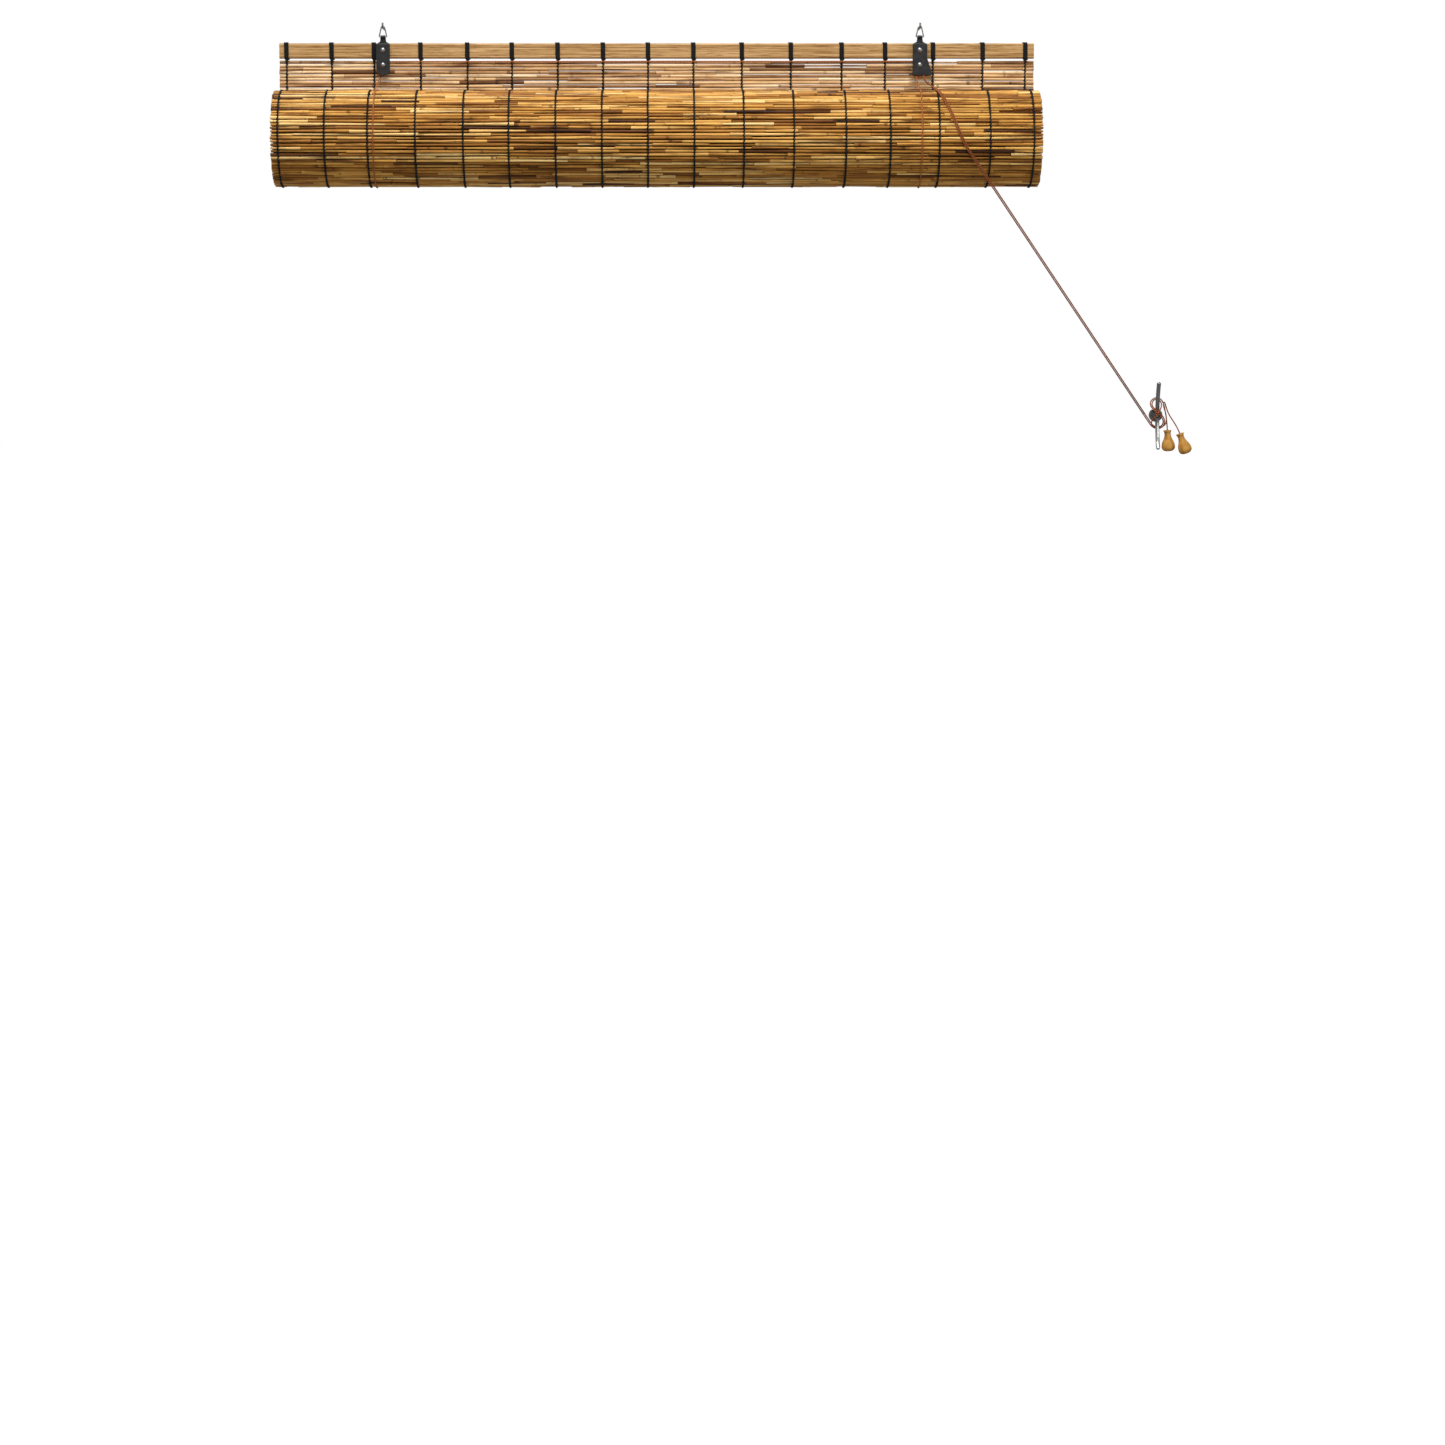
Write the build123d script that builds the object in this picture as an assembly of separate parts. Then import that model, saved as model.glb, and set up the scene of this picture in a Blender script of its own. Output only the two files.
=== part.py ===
from build123d import *
import math
import os

# Reed roller blind, rolled up and hanging from two screw hooks in a wall.
# The origin lies midway between the hooks, on the wall's face.
# +X runs to the right, +Y into the wall, +Z up.
# All sizes are in millimetres.

# Overall layout
mat_width = 1200.0
mat_offset = 8.2  # middle of the mat, right of the hooks' midpoint
hook_inset = 173.5  # each hook, in from the mat's end
wall_gap = 6.0  # wall to the back of the rail
cut_overrun = 2.0
running_clearance = 0.3
fit_clearance = 0.05

# Head rail, a flat wooden batten
rail_depth_below_hooks = 23.7
rail_height = 24.1
rail_thickness = 10.0
rail_edge_radius = 2.5

# Reed mat
reed_diameter = 4.5
reed_pitch = 5.4
reed_web = 2.1  # wall left in the valley between two reeds
mat_top_gap = 3.2  # rail to the first reed
reed_valley = 0.9  # flat strip between two reeds
light_gap_height = 0.8
light_gap_length_share = 0.8  # of the bay between two weave cords
light_gap_bays = 4  # open bays in each row
light_gap_step_bays = 3  # from one open bay to the next
light_gap_shift_bays = 5  # how far the pattern moves from row to row

# Rolled part of the mat
roll_radius = 77.3
roll_pitch = 8.6
roll_core_radius = 12.0
roll_depth_below_hooks = 174.5

# Black weave cords and the lashings that tie them to the rail
weave_cord_shares = (
    0.0095, 0.0694, 0.1255, 0.1872, 0.2492, 0.3082, 0.3689, 0.4290, 0.4886,
    0.5488, 0.6130, 0.6779, 0.7453, 0.8028, 0.8663, 0.9320, 0.9885,
)
weave_cord_width = 2.6
weave_cord_depth = 2.2
weave_end_deg = 25.0  # the cord round the roll ends this far short of a full turn
lashing_width = 6.4
lashing_thickness = 1.4
lashing_corner_radius = 3.0
lashing_clearance = 0.8  # lashing to the side of a hanger

# Hanger plates, stamped from sheet
plate_sheet = 1.2
plate_gap = 7.0  # between the front and the back plate
plate_top_below_hooks = 24.7
plate_bottom_below_hooks = 74.4
left_plate_width = 21.0
right_plate_width = 22.4
plate_bend_radius = 1.0  # outside of the bend at the front plate's top
neck_width = 9.8
shoulder_height = 3.4
eye_width = 8.0
eye_below_hooks = 13.8

# Cord lock in the right hanger
lock_bottom_below_hooks = 72.8
lock_slope_top_below_hooks = 47.0
lock_slope_run = 8.5  # how far the sloped side leans out
flange_left_reach = 17.3  # from the hanger's middle
flange_corner_radius = 2.0
cord_slot_width = 5.8
lift_slot_length = 7.0
pull_slot_length = 14.0
lock_roller_diameter = 6.0

# Pulleys, rivets and screws
pulley_below_hooks = 58.4
pulley_diameter = 13.0
pulley_groove_diameter = 8.8
pulley_flange = 0.7
axle_diameter = 3.0
rivet_head_diameter = 7.4
rivet_head_height = 1.6
rivet_tail_height = 0.9
rail_screw_below_hooks = 35.0
rail_screw_diameter = 3.2
rail_screw_length = 17.0
rail_screw_point = 2.5

# Wire triangle rings and screw hooks
ring_wire = 2.0
ring_width = 14.3
ring_corner_radius = 1.3
hook_wire = 3.0
hook_thread_diameter = 3.4
hook_reach = 25.0
hook_embedment = 25.0
hook_tip_height = 8.0
hook_bend_radius = 4.0
hook_point_length = 5.0

# Brown lift and pull cords
cord_diameter = 2.0
cord_spacing = 2.3  # between the two cords on one pulley
lift_bend_radius = 8.0
lift_bend_below_hooks = 72.0
lift_hole_depth = 5.0
lift_hole_bend = 1.3  # bend of the cord's end into the rail

# Wall cleat
cleat_right_of_middle = 812.0
cleat_below_hooks = 615.6
cleat_length = 109.0
cleat_horn_diameter = 6.7
cleat_middle_standoff = 20.0
cleat_tip_rise = 14.0  # horn tips, further from the wall than the middle
cleat_boss_diameter = 11.0
cleat_boss_standoff = 24.0
cleat_base_diameter = 22.0
cleat_base_height = 3.0
cleat_base_round = 1.2
cleat_screw_diameter = 4.0
cleat_thread_diameter = 3.6
cleat_screw_head_diameter = 7.6
cleat_screw_head_height = 2.4
cleat_screw_recess = 2.6  # depth of the head's seat below the boss's face
cleat_screw_embedment = 25.0
cleat_screw_point = 4.0

# Pear-shaped wooden tassels
tassel_height = 34.0
tassel_belly_diameter = 21.5
tassel_neck_diameter = 10.0
tassel_rim_diameter = 12.3
tassel_rim_height = 2.2
tassel_foot_radius = 7.0  # the round between the belly and the flat underside
tassel_bore_diameter = 2.6
tassel_bore_depth = 10.0
tassel_neck_share = 0.16
tassel_1_rim = (17.2, -16.0, -23.6)  # from the cleat's middle
tassel_1_lean = (2.4, 0.0, -33.8)
tassel_2_rim = (36.9, -17.5, -28.9)  # from the cleat's middle
tassel_2_lean = (11.0, 0.0, -31.0)

# Routes of the two pull cords: from the right hanger's middle line over the roll,
# then from the cleat's middle round its horns and on to the tassel
pull_cord_1_over_roll = [
    (5.7, -19.55, -58.4), (5.7, -19.55, -84.4), (21.5, -114.0, -99.8), (30.5, -137.5, -113.5),
    (40.0, -155.0, -134.4), (50.0, -164.5, -160.0), (61.5, -164.8, -187.2),
]
pull_cord_1_on_cleat = [
    (-12.5, -15.5, -7.5), (-6.0, -14.5, -16.5), (2.5, -14.5, -19.5), (9.5, -16.5, -15.5),
    (9.8, -21.5, -7.0), (4.5, -26, -0.5), (-4.5, -26.5, 7.5), (-11.2, -21.5, 15.0),
    (-11.0, -16.8, 23.0), (-3.0, -14.5, 29.2), (6.5, -15, 26.8), (10.8, -16, 18.5),
    (12.8, -16.5, 9.0), (15.0, -16, -2.0), (16.6, -16, -15.0), (17.6, -16, -29.4),
]
pull_cord_2_over_roll = [
    (5.7, -21.85, -58.4), (5.7, -21.85, -82.0), (18.3, -114.3, -99.9), (27.5, -137.7, -113.7),
    (37.1, -155.1, -134.6), (47.2, -164.5, -160.1), (58.7, -164.8, -187.3),
]
pull_cord_2_on_cleat = [
    (-14.4, -15.5, -8.9), (-7.5, -14.5, -18.6), (2.5, -14.5, -22.2), (11.5, -16.5, -17.2),
    (12.2, -21.5, -6.5), (6.3, -26, 1.6), (-2.8, -26.5, 9.6), (-8.6, -21.8, 15.0),
    (-8.4, -17.4, 20.8), (-4.6, -15.0, 25.6), (1.4, -14.8, 26.4), (5.8, -16.8, 22.6),
    (6.8, -21.8, 16.4), (3.0, -28.8, 8.5), (-3.5, -28.8, 0.0), (-9.0, -24, -7.0),
    (-9.5, -18.8, -14.5), (-3.0, -17, -20.5), (6.0, -17.2, -20.0), (14.5, -18.5, -14.0),
    (14.9, -20.2, -4.0), (13.0, -21.8, 4.0), (10.6, -22.6, 10.5), (10.2, -22.8, 15.4),
    (12.0, -22.7, 17.9), (14.6, -22.4, 16.4), (16.8, -21.9, 12.4), (19.8, -21.2, 6.4),
    (23.6, -20.2, -0.8), (28.6, -18.8, -10.0), (33.9, -17.5, -20.5), (38.6, -17.5, -33.7),
]

# Places that follow from the sizes above
mat_left = mat_offset - mat_width / 2
hook_spacing = mat_width - 2 * hook_inset
rail_back_y = -wall_gap
rail_front_y = rail_back_y - rail_thickness
rail_top_z = -rail_depth_below_hooks
rail_bottom_z = rail_top_z - rail_height
mat_middle_y = (rail_back_y + rail_front_y) / 2
mat_back_y = mat_middle_y + reed_diameter / 2
mat_front_y = mat_middle_y - reed_diameter / 2
mat_top_z = rail_bottom_z - mat_top_gap
roll_y = mat_back_y - roll_radius
roll_z = -roll_depth_below_hooks
mat_bottom_z = roll_z + running_clearance
reed_ridge = (reed_diameter - reed_web) / 2
half_pitch = roll_pitch / 2
hanger_xs = (-hook_spacing / 2, hook_spacing / 2)
plate_top_z = -plate_top_below_hooks
plate_bottom_z = -plate_bottom_below_hooks
lock_bottom_z = -lock_bottom_below_hooks
lock_slope_top_z = -lock_slope_top_below_hooks
lock_slope_height = lock_slope_top_z - lock_bottom_z
inner_front_y = rail_front_y - plate_sheet  # front face of the back plate
front_plate_y = inner_front_y - plate_gap  # back face of the front plate
front_face_y = front_plate_y - plate_sheet
pulley_y = inner_front_y - plate_gap / 2
pulley_z = -pulley_below_hooks
cord_radius = cord_diameter / 2
cord_wrap_radius = pulley_groove_diameter / 2 + running_clearance + cord_radius
left_cord_y = pulley_y + cord_spacing / 2
right_cord_y = pulley_y - cord_spacing / 2
eye_radius = ring_wire / 2 + running_clearance
eye_y = inner_front_y - eye_radius
eye_z = -eye_below_hooks


def weave_place(share):
    """A weave cord's place along the mat, beside any hanger that its lashing would otherwise meet."""
    x = mat_left + share * mat_width
    for hanger_x, plate_width in zip(hanger_xs, (left_plate_width, right_plate_width)):
        keep = (plate_width + lashing_width) / 2 + lashing_clearance
        if abs(x - hanger_x) < keep:
            x = hanger_x + math.copysign(keep, x - hanger_x)
    return x


weave_xs = [weave_place(share) for share in weave_cord_shares]


def side_profile(edges):
    """A closed outline drawn in (Y, Z), as a face whose normal is +X."""
    return Plane.YZ * make_face(edges)


def front_profile(sketch, y):
    """A sketch drawn in (X, Z), set at the depth y."""
    return Pos(0, y, 0) * (Plane.XZ * sketch)


def disc_along_y(radius, y_near_wall, y_far, x, z):
    """A cylinder whose axis runs along Y, between two depths."""
    length = y_near_wall - y_far
    return Pos(x, (y_near_wall + y_far) / 2, z) * Rot(90, 0, 0) * Cylinder(radius, length)


def turned_along_y(outline, x, y, z):
    """A turned piece: an (axis, radius) outline spun about its axis, which then points along -Y."""
    return Pos(x, y, z) * Rot(90, 0, 0) * revolve(Plane.XZ * make_face(outline), Axis.Z)


def tube(path, radius):
    """A round bar or cord carried along a path."""
    start = Plane(origin=path @ 0, z_dir=path % 0)
    return sweep(start * Circle(radius), path=path)


def head_rail():
    """A batten with rounded long edges, a pilot hole for each hanger screw and two blind cord holes."""
    batten = Pos(mat_offset, mat_middle_y, rail_top_z - rail_height / 2) * Box(
        mat_width, rail_thickness, rail_height
    )
    batten = fillet(batten.edges().filter_by(Axis.X), rail_edge_radius)
    screw_end_y = front_face_y + rail_screw_length
    for hanger_x in hanger_xs:
        batten -= disc_along_y(
            rail_screw_diameter / 2 + fit_clearance,
            screw_end_y + running_clearance,
            rail_front_y - cut_overrun,
            hanger_x,
            -rail_screw_below_hooks,
        )
        batten -= disc_along_y(
            cord_radius + fit_clearance,
            rail_back_y + cut_overrun,
            rail_back_y - lift_hole_depth,
            hanger_x - cord_wrap_radius,
            -rail_screw_below_hooks,
        )
    return batten


def ridge_edges(count, valley_share, place):
    """Round ridges with flat valleys: place(t, rise) gives the point at ridge position t."""
    half_share = 0.5
    half_valley_share = valley_share / 2
    edges = [Line(place(0, 0), place(half_valley_share, 0))]
    for index in range(count):
        start = place(index + half_valley_share, 0)
        crest = place(index + half_share, reed_ridge)
        end = place(index + 1 - half_valley_share, 0)
        edges.append(ThreePointArc(start, crest, end))
        if index < count - 1:
            edges.append(Line(end, place(index + 1 + half_valley_share, 0)))
    edges.append(Line(place(count - half_valley_share, 0), place(count, 0)))
    return edges


def reed_mat_drop():
    """The hanging stretch: reeds as ridges on both faces of one wall, with gaps that let light through."""
    height = mat_top_z - mat_bottom_z
    rows = round(height / reed_pitch)
    pitch = height / rows
    front_valley_y = mat_front_y + reed_ridge
    back_valley_y = mat_back_y - reed_ridge
    valley_share = reed_valley / pitch
    front = ridge_edges(rows, valley_share, lambda t, rise: (front_valley_y - rise, mat_top_z - t * pitch))
    back = ridge_edges(rows, valley_share, lambda t, rise: (back_valley_y + rise, mat_top_z - t * pitch))
    top = Line((front_valley_y, mat_top_z), (back_valley_y, mat_top_z))
    bottom = Line((front_valley_y, mat_bottom_z), (back_valley_y, mat_bottom_z))
    wall = extrude(side_profile([*front, *back, top, bottom]), amount=mat_width, dir=(1, 0, 0))
    wall = Pos(mat_left, 0, 0) * wall

    bays = list(zip(weave_xs[:-1], weave_xs[1:]))
    gaps = []
    for row in range(1, rows):
        for turn in range(light_gap_bays):
            bay = row * light_gap_shift_bays + turn * light_gap_step_bays
            left, right = bays[bay % len(bays)]
            gap = Box((right - left) * light_gap_length_share, reed_diameter, light_gap_height)
            gaps.append(Pos((left + right) / 2, mat_middle_y, mat_top_z - row * pitch) * gap)
    return wall - gaps


def roll_point(half_turn, share, radius):
    """A point in (Y, Z) on one half turn: even ones pass under the roll, odd ones over it."""
    centre_y = roll_y if half_turn % 2 == 0 else roll_y - half_pitch
    angle = -math.pi * (share + half_turn % 2)
    return (centre_y + radius * math.cos(angle), roll_z + radius * math.sin(angle))


def half_turn_arc(half_turn, radius):
    """A half circle of the roll's spiral."""
    middle_share = 0.5
    return ThreePointArc(
        roll_point(half_turn, 0, radius),
        roll_point(half_turn, middle_share, radius),
        roll_point(half_turn, 1, radius),
    )


def reed_mat_roll():
    """The wound mat: a spiral of half circles whose radius falls by half a pitch each, ridged outside."""
    half_turns = int((roll_radius - roll_core_radius) / half_pitch)
    edges = []
    for half_turn in range(half_turns):
        radius = roll_radius - half_turn * half_pitch
        valley = radius - reed_ridge
        if half_turn < 2:
            count = round(math.pi * radius / reed_pitch)
            valley_share = reed_valley * count / (math.pi * valley)
            edges += ridge_edges(
                count, valley_share, lambda t, rise: roll_point(half_turn, t / count, valley + rise)
            )
        else:
            edges.append(half_turn_arc(half_turn, valley))
        edges.append(half_turn_arc(half_turn, radius - reed_diameter))
    last = half_turns - 1
    last_radius = roll_radius - last * half_pitch
    for half_turn, share, radius in ((0, 0, roll_radius), (last, 1, last_radius)):
        edges.append(
            Line(
                roll_point(half_turn, share, radius - reed_ridge),
                roll_point(half_turn, share, radius - reed_diameter),
            )
        )
    strip = extrude(side_profile(edges), amount=mat_width, dir=(1, 0, 0))
    return Pos(mat_left, 0, 0) * strip


def weave_columns(section, width):
    """One solid for each weave cord: a section in (Y, Z) given the width of the cord."""
    column = extrude(section, amount=width, dir=(1, 0, 0))
    return Compound(children=[Pos(x - width / 2, 0, 0) * column for x in weave_xs])


def rail_lashings():
    """Turns of black cord round the rail, one bundle at each weave cord."""
    rail_z = rail_top_z - rail_height / 2
    middle = Pos(mat_middle_y, rail_z)
    outer = RectangleRounded(
        rail_thickness + 2 * lashing_thickness,
        rail_height + 2 * lashing_thickness,
        lashing_corner_radius,
    )
    inner = RectangleRounded(rail_thickness, rail_height, rail_edge_radius - fit_clearance)
    return weave_columns(Plane.YZ * (middle * (outer - inner)), lashing_width)


def drop_weave_cords():
    """The two strands of each weave cord, down the front and the back of the hanging stretch."""
    top_z = rail_bottom_z - lashing_thickness
    depth = reed_diameter + 2 * (fit_clearance + weave_cord_depth)
    inner_depth = reed_diameter + 2 * fit_clearance
    outer = Pos(mat_middle_y, (top_z + mat_bottom_z) / 2) * Rectangle(depth, top_z - mat_bottom_z)
    slot_top_z = mat_top_z + fit_clearance
    slot_bottom_z = mat_bottom_z - cut_overrun
    slot = Rectangle(inner_depth, slot_top_z - slot_bottom_z)
    slot = Pos(mat_middle_y, (slot_top_z + slot_bottom_z) / 2) * slot
    return weave_columns(Plane.YZ * (outer - slot), weave_cord_width)


def roll_weave_cords():
    """The weave cords round the outer turn of the roll."""
    end_share = 1 - weave_end_deg / 180
    middle_share = end_share / 2
    inner = roll_radius + fit_clearance
    outer = inner + weave_cord_depth
    edges = []
    for radius in (inner, outer):
        edges.append(half_turn_arc(0, radius))
        upper = radius - half_pitch
        edges.append(
            ThreePointArc(
                roll_point(1, 0, upper),
                roll_point(1, middle_share, upper),
                roll_point(1, end_share, upper),
            )
        )
    edges.append(Line(roll_point(0, 0, inner), roll_point(0, 0, outer)))
    inner_end = roll_point(1, end_share, inner - half_pitch)
    outer_end = roll_point(1, end_share, outer - half_pitch)
    edges.append(Line(inner_end, outer_end))
    return weave_columns(side_profile(edges), weave_cord_width)


def left_plate_outline():
    """The left hanger's face: square shoulders and a round bottom, in (X, Z) about the hanger's middle."""
    half = left_plate_width / 2
    body_height = plate_top_z - plate_bottom_z - half
    body = Pos(0, plate_top_z - body_height / 2) * Rectangle(left_plate_width, body_height)
    return body + Pos(0, plate_bottom_z + half) * Circle(half)


def right_plate_outline():
    """The cord lock's face: its right side leans out towards a flat bottom."""
    half = right_plate_width / 2
    corners = [
        (-half, plate_top_z),
        (half, plate_top_z),
        (half, lock_slope_top_z),
        (half + lock_slope_run, lock_bottom_z),
        (-half, lock_bottom_z),
    ]
    return make_face(Polyline(*corners, close=True))


def neck_outline(plate_width):
    """The shoulders narrow to the neck that carries the eye."""
    half = plate_width / 2
    neck_half = neck_width / 2
    eye_half = eye_width / 2
    shoulder_z = plate_top_z + shoulder_height
    corners = [
        (-half, plate_top_z),
        (-neck_half, shoulder_z),
        (-eye_half, eye_z),
        (eye_half, eye_z),
        (neck_half, shoulder_z),
        (half, plate_top_z),
    ]
    return make_face(Polyline(*corners, close=True))


def fastener_holes(hanger_x):
    """Holes through both plates for the hanger screw and the pulley's rivet."""
    holes = []
    for z, diameter in ((-rail_screw_below_hooks, rail_screw_diameter), (pulley_z, axle_diameter)):
        radius = diameter / 2 + fit_clearance
        near_y = rail_front_y + cut_overrun
        holes.append(disc_along_y(radius, near_y, front_face_y - cut_overrun, hanger_x, z))
    return holes


def back_plate(hanger_x, outline, plate_width):
    """The plate against the rail, with a neck rolled forward into an eye."""
    sheet = extrude(
        front_profile(outline + neck_outline(plate_width), rail_front_y), amount=plate_sheet, dir=(0, -1, 0)
    )
    eye_ring = Circle(eye_radius + plate_sheet) - Circle(eye_radius)
    eye = extrude(Plane.YZ * (Pos(eye_y, eye_z) * eye_ring), amount=eye_width / 2, both=True)
    sheet = sheet - Pos(0, eye_y, eye_z) * Rot(0, 90, 0) * Cylinder(eye_radius, eye_width + cut_overrun)
    return Pos(hanger_x, 0, 0) * (sheet + eye) - fastener_holes(hanger_x)


def front_plate(hanger_x, outline, plate_width):
    """The cover plate; its top edge is bent back to stand on the back plate."""
    sheet = extrude(front_profile(outline, front_plate_y), amount=plate_sheet, dir=(0, -1, 0))
    lip_depth = plate_gap + plate_sheet
    lip = Pos(0, inner_front_y - lip_depth / 2, plate_top_z - plate_sheet / 2) * Box(
        plate_width, lip_depth, plate_sheet
    )
    cover = sheet + lip
    bend = cover.edges().filter_by(Axis.X).group_by(Axis.Y)[0].sort_by(Axis.Z)[-1]
    cover = fillet(bend, plate_bend_radius)
    return Pos(hanger_x, 0, 0) * cover - fastener_holes(hanger_x)


def slot_in_flange(length, x):
    """A cord slot through the lock's bottom flange."""
    return Pos(x, pulley_y) * SlotOverall(length, cord_slot_width)


def right_back_plate():
    """The lock's back plate: its sloped side and its bottom are bent forward to the front plate."""
    hanger_x = hanger_xs[1]
    half = right_plate_width / 2
    plate = back_plate(hanger_x, right_plate_outline(), right_plate_width)
    slope_top = (hanger_x + half, lock_slope_top_z)
    slope_bottom = (hanger_x + half + lock_slope_run, lock_bottom_z)
    slope_length = math.hypot(lock_slope_run, lock_slope_height)
    sheet_x = plate_sheet * slope_length / lock_slope_height
    side = make_face(
        Polyline(
            slope_top,
            slope_bottom,
            (slope_bottom[0] - sheet_x, lock_bottom_z),
            (slope_top[0] - sheet_x, lock_slope_top_z),
            close=True,
        )
    )
    plate += extrude(front_profile(side, inner_front_y), amount=plate_gap, dir=(0, -1, 0))

    flange_depth = rail_front_y - front_face_y
    left_x = hanger_x - flange_left_reach
    right_x = slope_bottom[0]
    flange = RectangleRounded(right_x - left_x, flange_depth, flange_corner_radius)
    flange = Pos((left_x + right_x) / 2, rail_front_y - flange_depth / 2) * flange
    flange -= slot_in_flange(lift_slot_length, hanger_x - cord_wrap_radius)
    flange -= slot_in_flange(pull_slot_length, hanger_x + cord_wrap_radius + lock_roller_diameter / 2)
    return plate + extrude(Pos(0, 0, lock_bottom_z) * flange, amount=plate_sheet, dir=(0, 0, -1))


def lock_roller():
    """The loose roller in the lock's narrowing side, which jams the pull cords against the pulley."""
    radius = lock_roller_diameter / 2
    slope_length = math.hypot(lock_slope_run, lock_slope_height)
    x = hanger_xs[1] + cord_wrap_radius + cord_radius + running_clearance / 2 + radius
    wall_reach = (radius + running_clearance / 2 + plate_sheet) * slope_length / lock_slope_height
    lean = x + wall_reach - hanger_xs[1] - right_plate_width / 2
    z = lock_slope_top_z - lean * lock_slope_height / lock_slope_run
    length = plate_gap - 2 * running_clearance
    return disc_along_y(radius, pulley_y + length / 2, pulley_y - length / 2, x, z)


def pulley(hanger_x):
    """A grooved wheel, wide enough for two cords side by side."""
    half = plate_gap / 2 - running_clearance
    bore = axle_diameter / 2 + fit_clearance
    rim = pulley_diameter / 2
    groove = pulley_groove_diameter / 2
    groove_half = half - pulley_flange
    rim_half = half - pulley_flange / 2
    corners = [
        (bore, -half),
        (rim, -half),
        (rim, -rim_half),
        (groove, -groove_half),
        (groove, groove_half),
        (rim, rim_half),
        (rim, half),
        (bore, half),
    ]
    return turned_along_y(Polyline(*corners, close=True), hanger_x, pulley_y, pulley_z)


def domed_head(diameter, height, x, y, z):
    """A low round head that stands on the depth y and points away from the wall."""
    radius = diameter / 2
    outline = [
        Line((0, 0), (radius, 0)),
        RadiusArc((radius, 0), (0, height), -(radius * radius + height * height) / (2 * height)),
        Line((0, height), (0, 0)),
    ]
    return turned_along_y(outline, x, y, z)


def pulley_axles():
    """The lower rivets: each holds two plates together and carries a pulley."""
    rivets = []
    for x in hanger_xs:
        shaft = disc_along_y(axle_diameter / 2, rail_front_y, front_face_y, x, pulley_z)
        head = domed_head(rivet_head_diameter, rivet_head_height, x, front_face_y, pulley_z)
        tail_y = rail_front_y + rivet_tail_height
        tail = disc_along_y(rivet_head_diameter / 2, tail_y, rail_front_y, x, pulley_z)
        rivets.append(shaft + head + tail)
    return Compound(children=rivets)


def pointed_shank(diameter, length, point, x, y, z):
    """A round shank that runs from the depth y towards the wall and ends in a point."""
    radius = diameter / 2
    tip = point / 2
    corners = [
        (0, 0),
        (radius, 0),
        (radius, -(length - point)),
        (radius * tip / point, -length),
        (0, -length),
    ]
    return turned_along_y(Polyline(*corners, close=True), x, y, z)


def rail_screws():
    """The upper screws, through both plates of each hanger into the rail."""
    z = -rail_screw_below_hooks
    screws = []
    for x in hanger_xs:
        head = domed_head(rivet_head_diameter, rivet_head_height, x, front_face_y, z)
        shank = pointed_shank(rail_screw_diameter, rail_screw_length, rail_screw_point, x, front_face_y, z)
        screws.append(head + shank)
    return Compound(children=screws)


def ring(hanger_x):
    """A wire triangle: its base turns in the eye and its top hangs on the hook."""
    wire_radius = ring_wire / 2
    base_half = ring_width / 2 - wire_radius
    top_radius = hook_wire / 2 + running_clearance + wire_radius
    reach = math.hypot(base_half, eye_z)
    touch = math.atan2(eye_z, base_half) + math.acos(top_radius / reach)
    right = (top_radius * math.cos(touch), top_radius * math.sin(touch))
    left = (-right[0], right[1])
    outline = Wire(
        [
            Line((-base_half, eye_z), (base_half, eye_z)),
            Line((base_half, eye_z), right),
            ThreePointArc(right, (0, top_radius), left),
            Line(left, (-base_half, eye_z)),
        ]
    )
    corners = [vertex for vertex in outline.vertices() if abs(vertex.Y - eye_z) < fit_clearance]
    outline = outline.fillet_2d(ring_corner_radius, corners)
    path = Pos(hanger_x, eye_y, 0) * (Plane.XZ * outline)
    return tube(path, wire_radius)


def wall_hooks():
    """Screw hooks: a shank that is screwed into the wall and a short tip turned up."""
    hooks = []
    for x in hanger_xs:
        path = FilletPolyline(
            (x, 0, 0), (x, -hook_reach, 0), (x, -hook_reach, hook_tip_height), radius=hook_bend_radius
        )
        thread = pointed_shank(hook_thread_diameter, hook_embedment, hook_point_length, x, 0, 0)
        hooks.append(tube(path, hook_wire / 2) + thread)
    return Compound(children=hooks)


def lift_geometry(cord_y):
    """Where a lift cord bends forward under its hanger and where it touches the roll, in (Y, Z)."""
    wrap = roll_radius + running_clearance + cord_radius
    bend_centre = (cord_y - lift_bend_radius, -lift_bend_below_hooks)
    away_y = roll_y - bend_centre[0]
    away_z = roll_z - bend_centre[1]
    distance = math.hypot(away_y, away_z)
    # the straight stretch touches the small bend from below and the roll from above
    touch = math.atan2(away_z, away_y) - math.acos(-(wrap + lift_bend_radius) / distance) + 2 * math.pi
    normal = (math.cos(touch), math.sin(touch))
    bend_end = (
        bend_centre[0] - lift_bend_radius * normal[0],
        bend_centre[1] - lift_bend_radius * normal[1],
    )
    roll_touch = (roll_y + wrap * normal[0], roll_z + wrap * normal[1])
    return wrap, touch, bend_centre, bend_end, roll_touch


def lift_cord_front(hanger_x, cord_y):
    """From the forward bend under the hanger, up to the pulley and a quarter turn over it."""
    wrap, touch, bend_centre, bend_end, roll_touch = lift_geometry(cord_y)
    x = hanger_x - cord_wrap_radius
    half_bend = (touch - math.pi) / 2
    bend_middle = (
        bend_centre[0] + lift_bend_radius * math.cos(half_bend),
        bend_centre[1] + lift_bend_radius * math.sin(half_bend),
    )
    quarter = cord_wrap_radius * math.sqrt(2) / 2
    path = Wire(
        [
            ThreePointArc((x, *bend_end), (x, *bend_middle), (x, cord_y, bend_centre[1])),
            Line((x, cord_y, bend_centre[1]), (x, cord_y, pulley_z)),
            ThreePointArc(
                (x, cord_y, pulley_z),
                (hanger_x - quarter, cord_y, pulley_z + quarter),
                (hanger_x, cord_y, pulley_z + cord_wrap_radius),
            ),
        ]
    )
    return tube(path, cord_radius)


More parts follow.
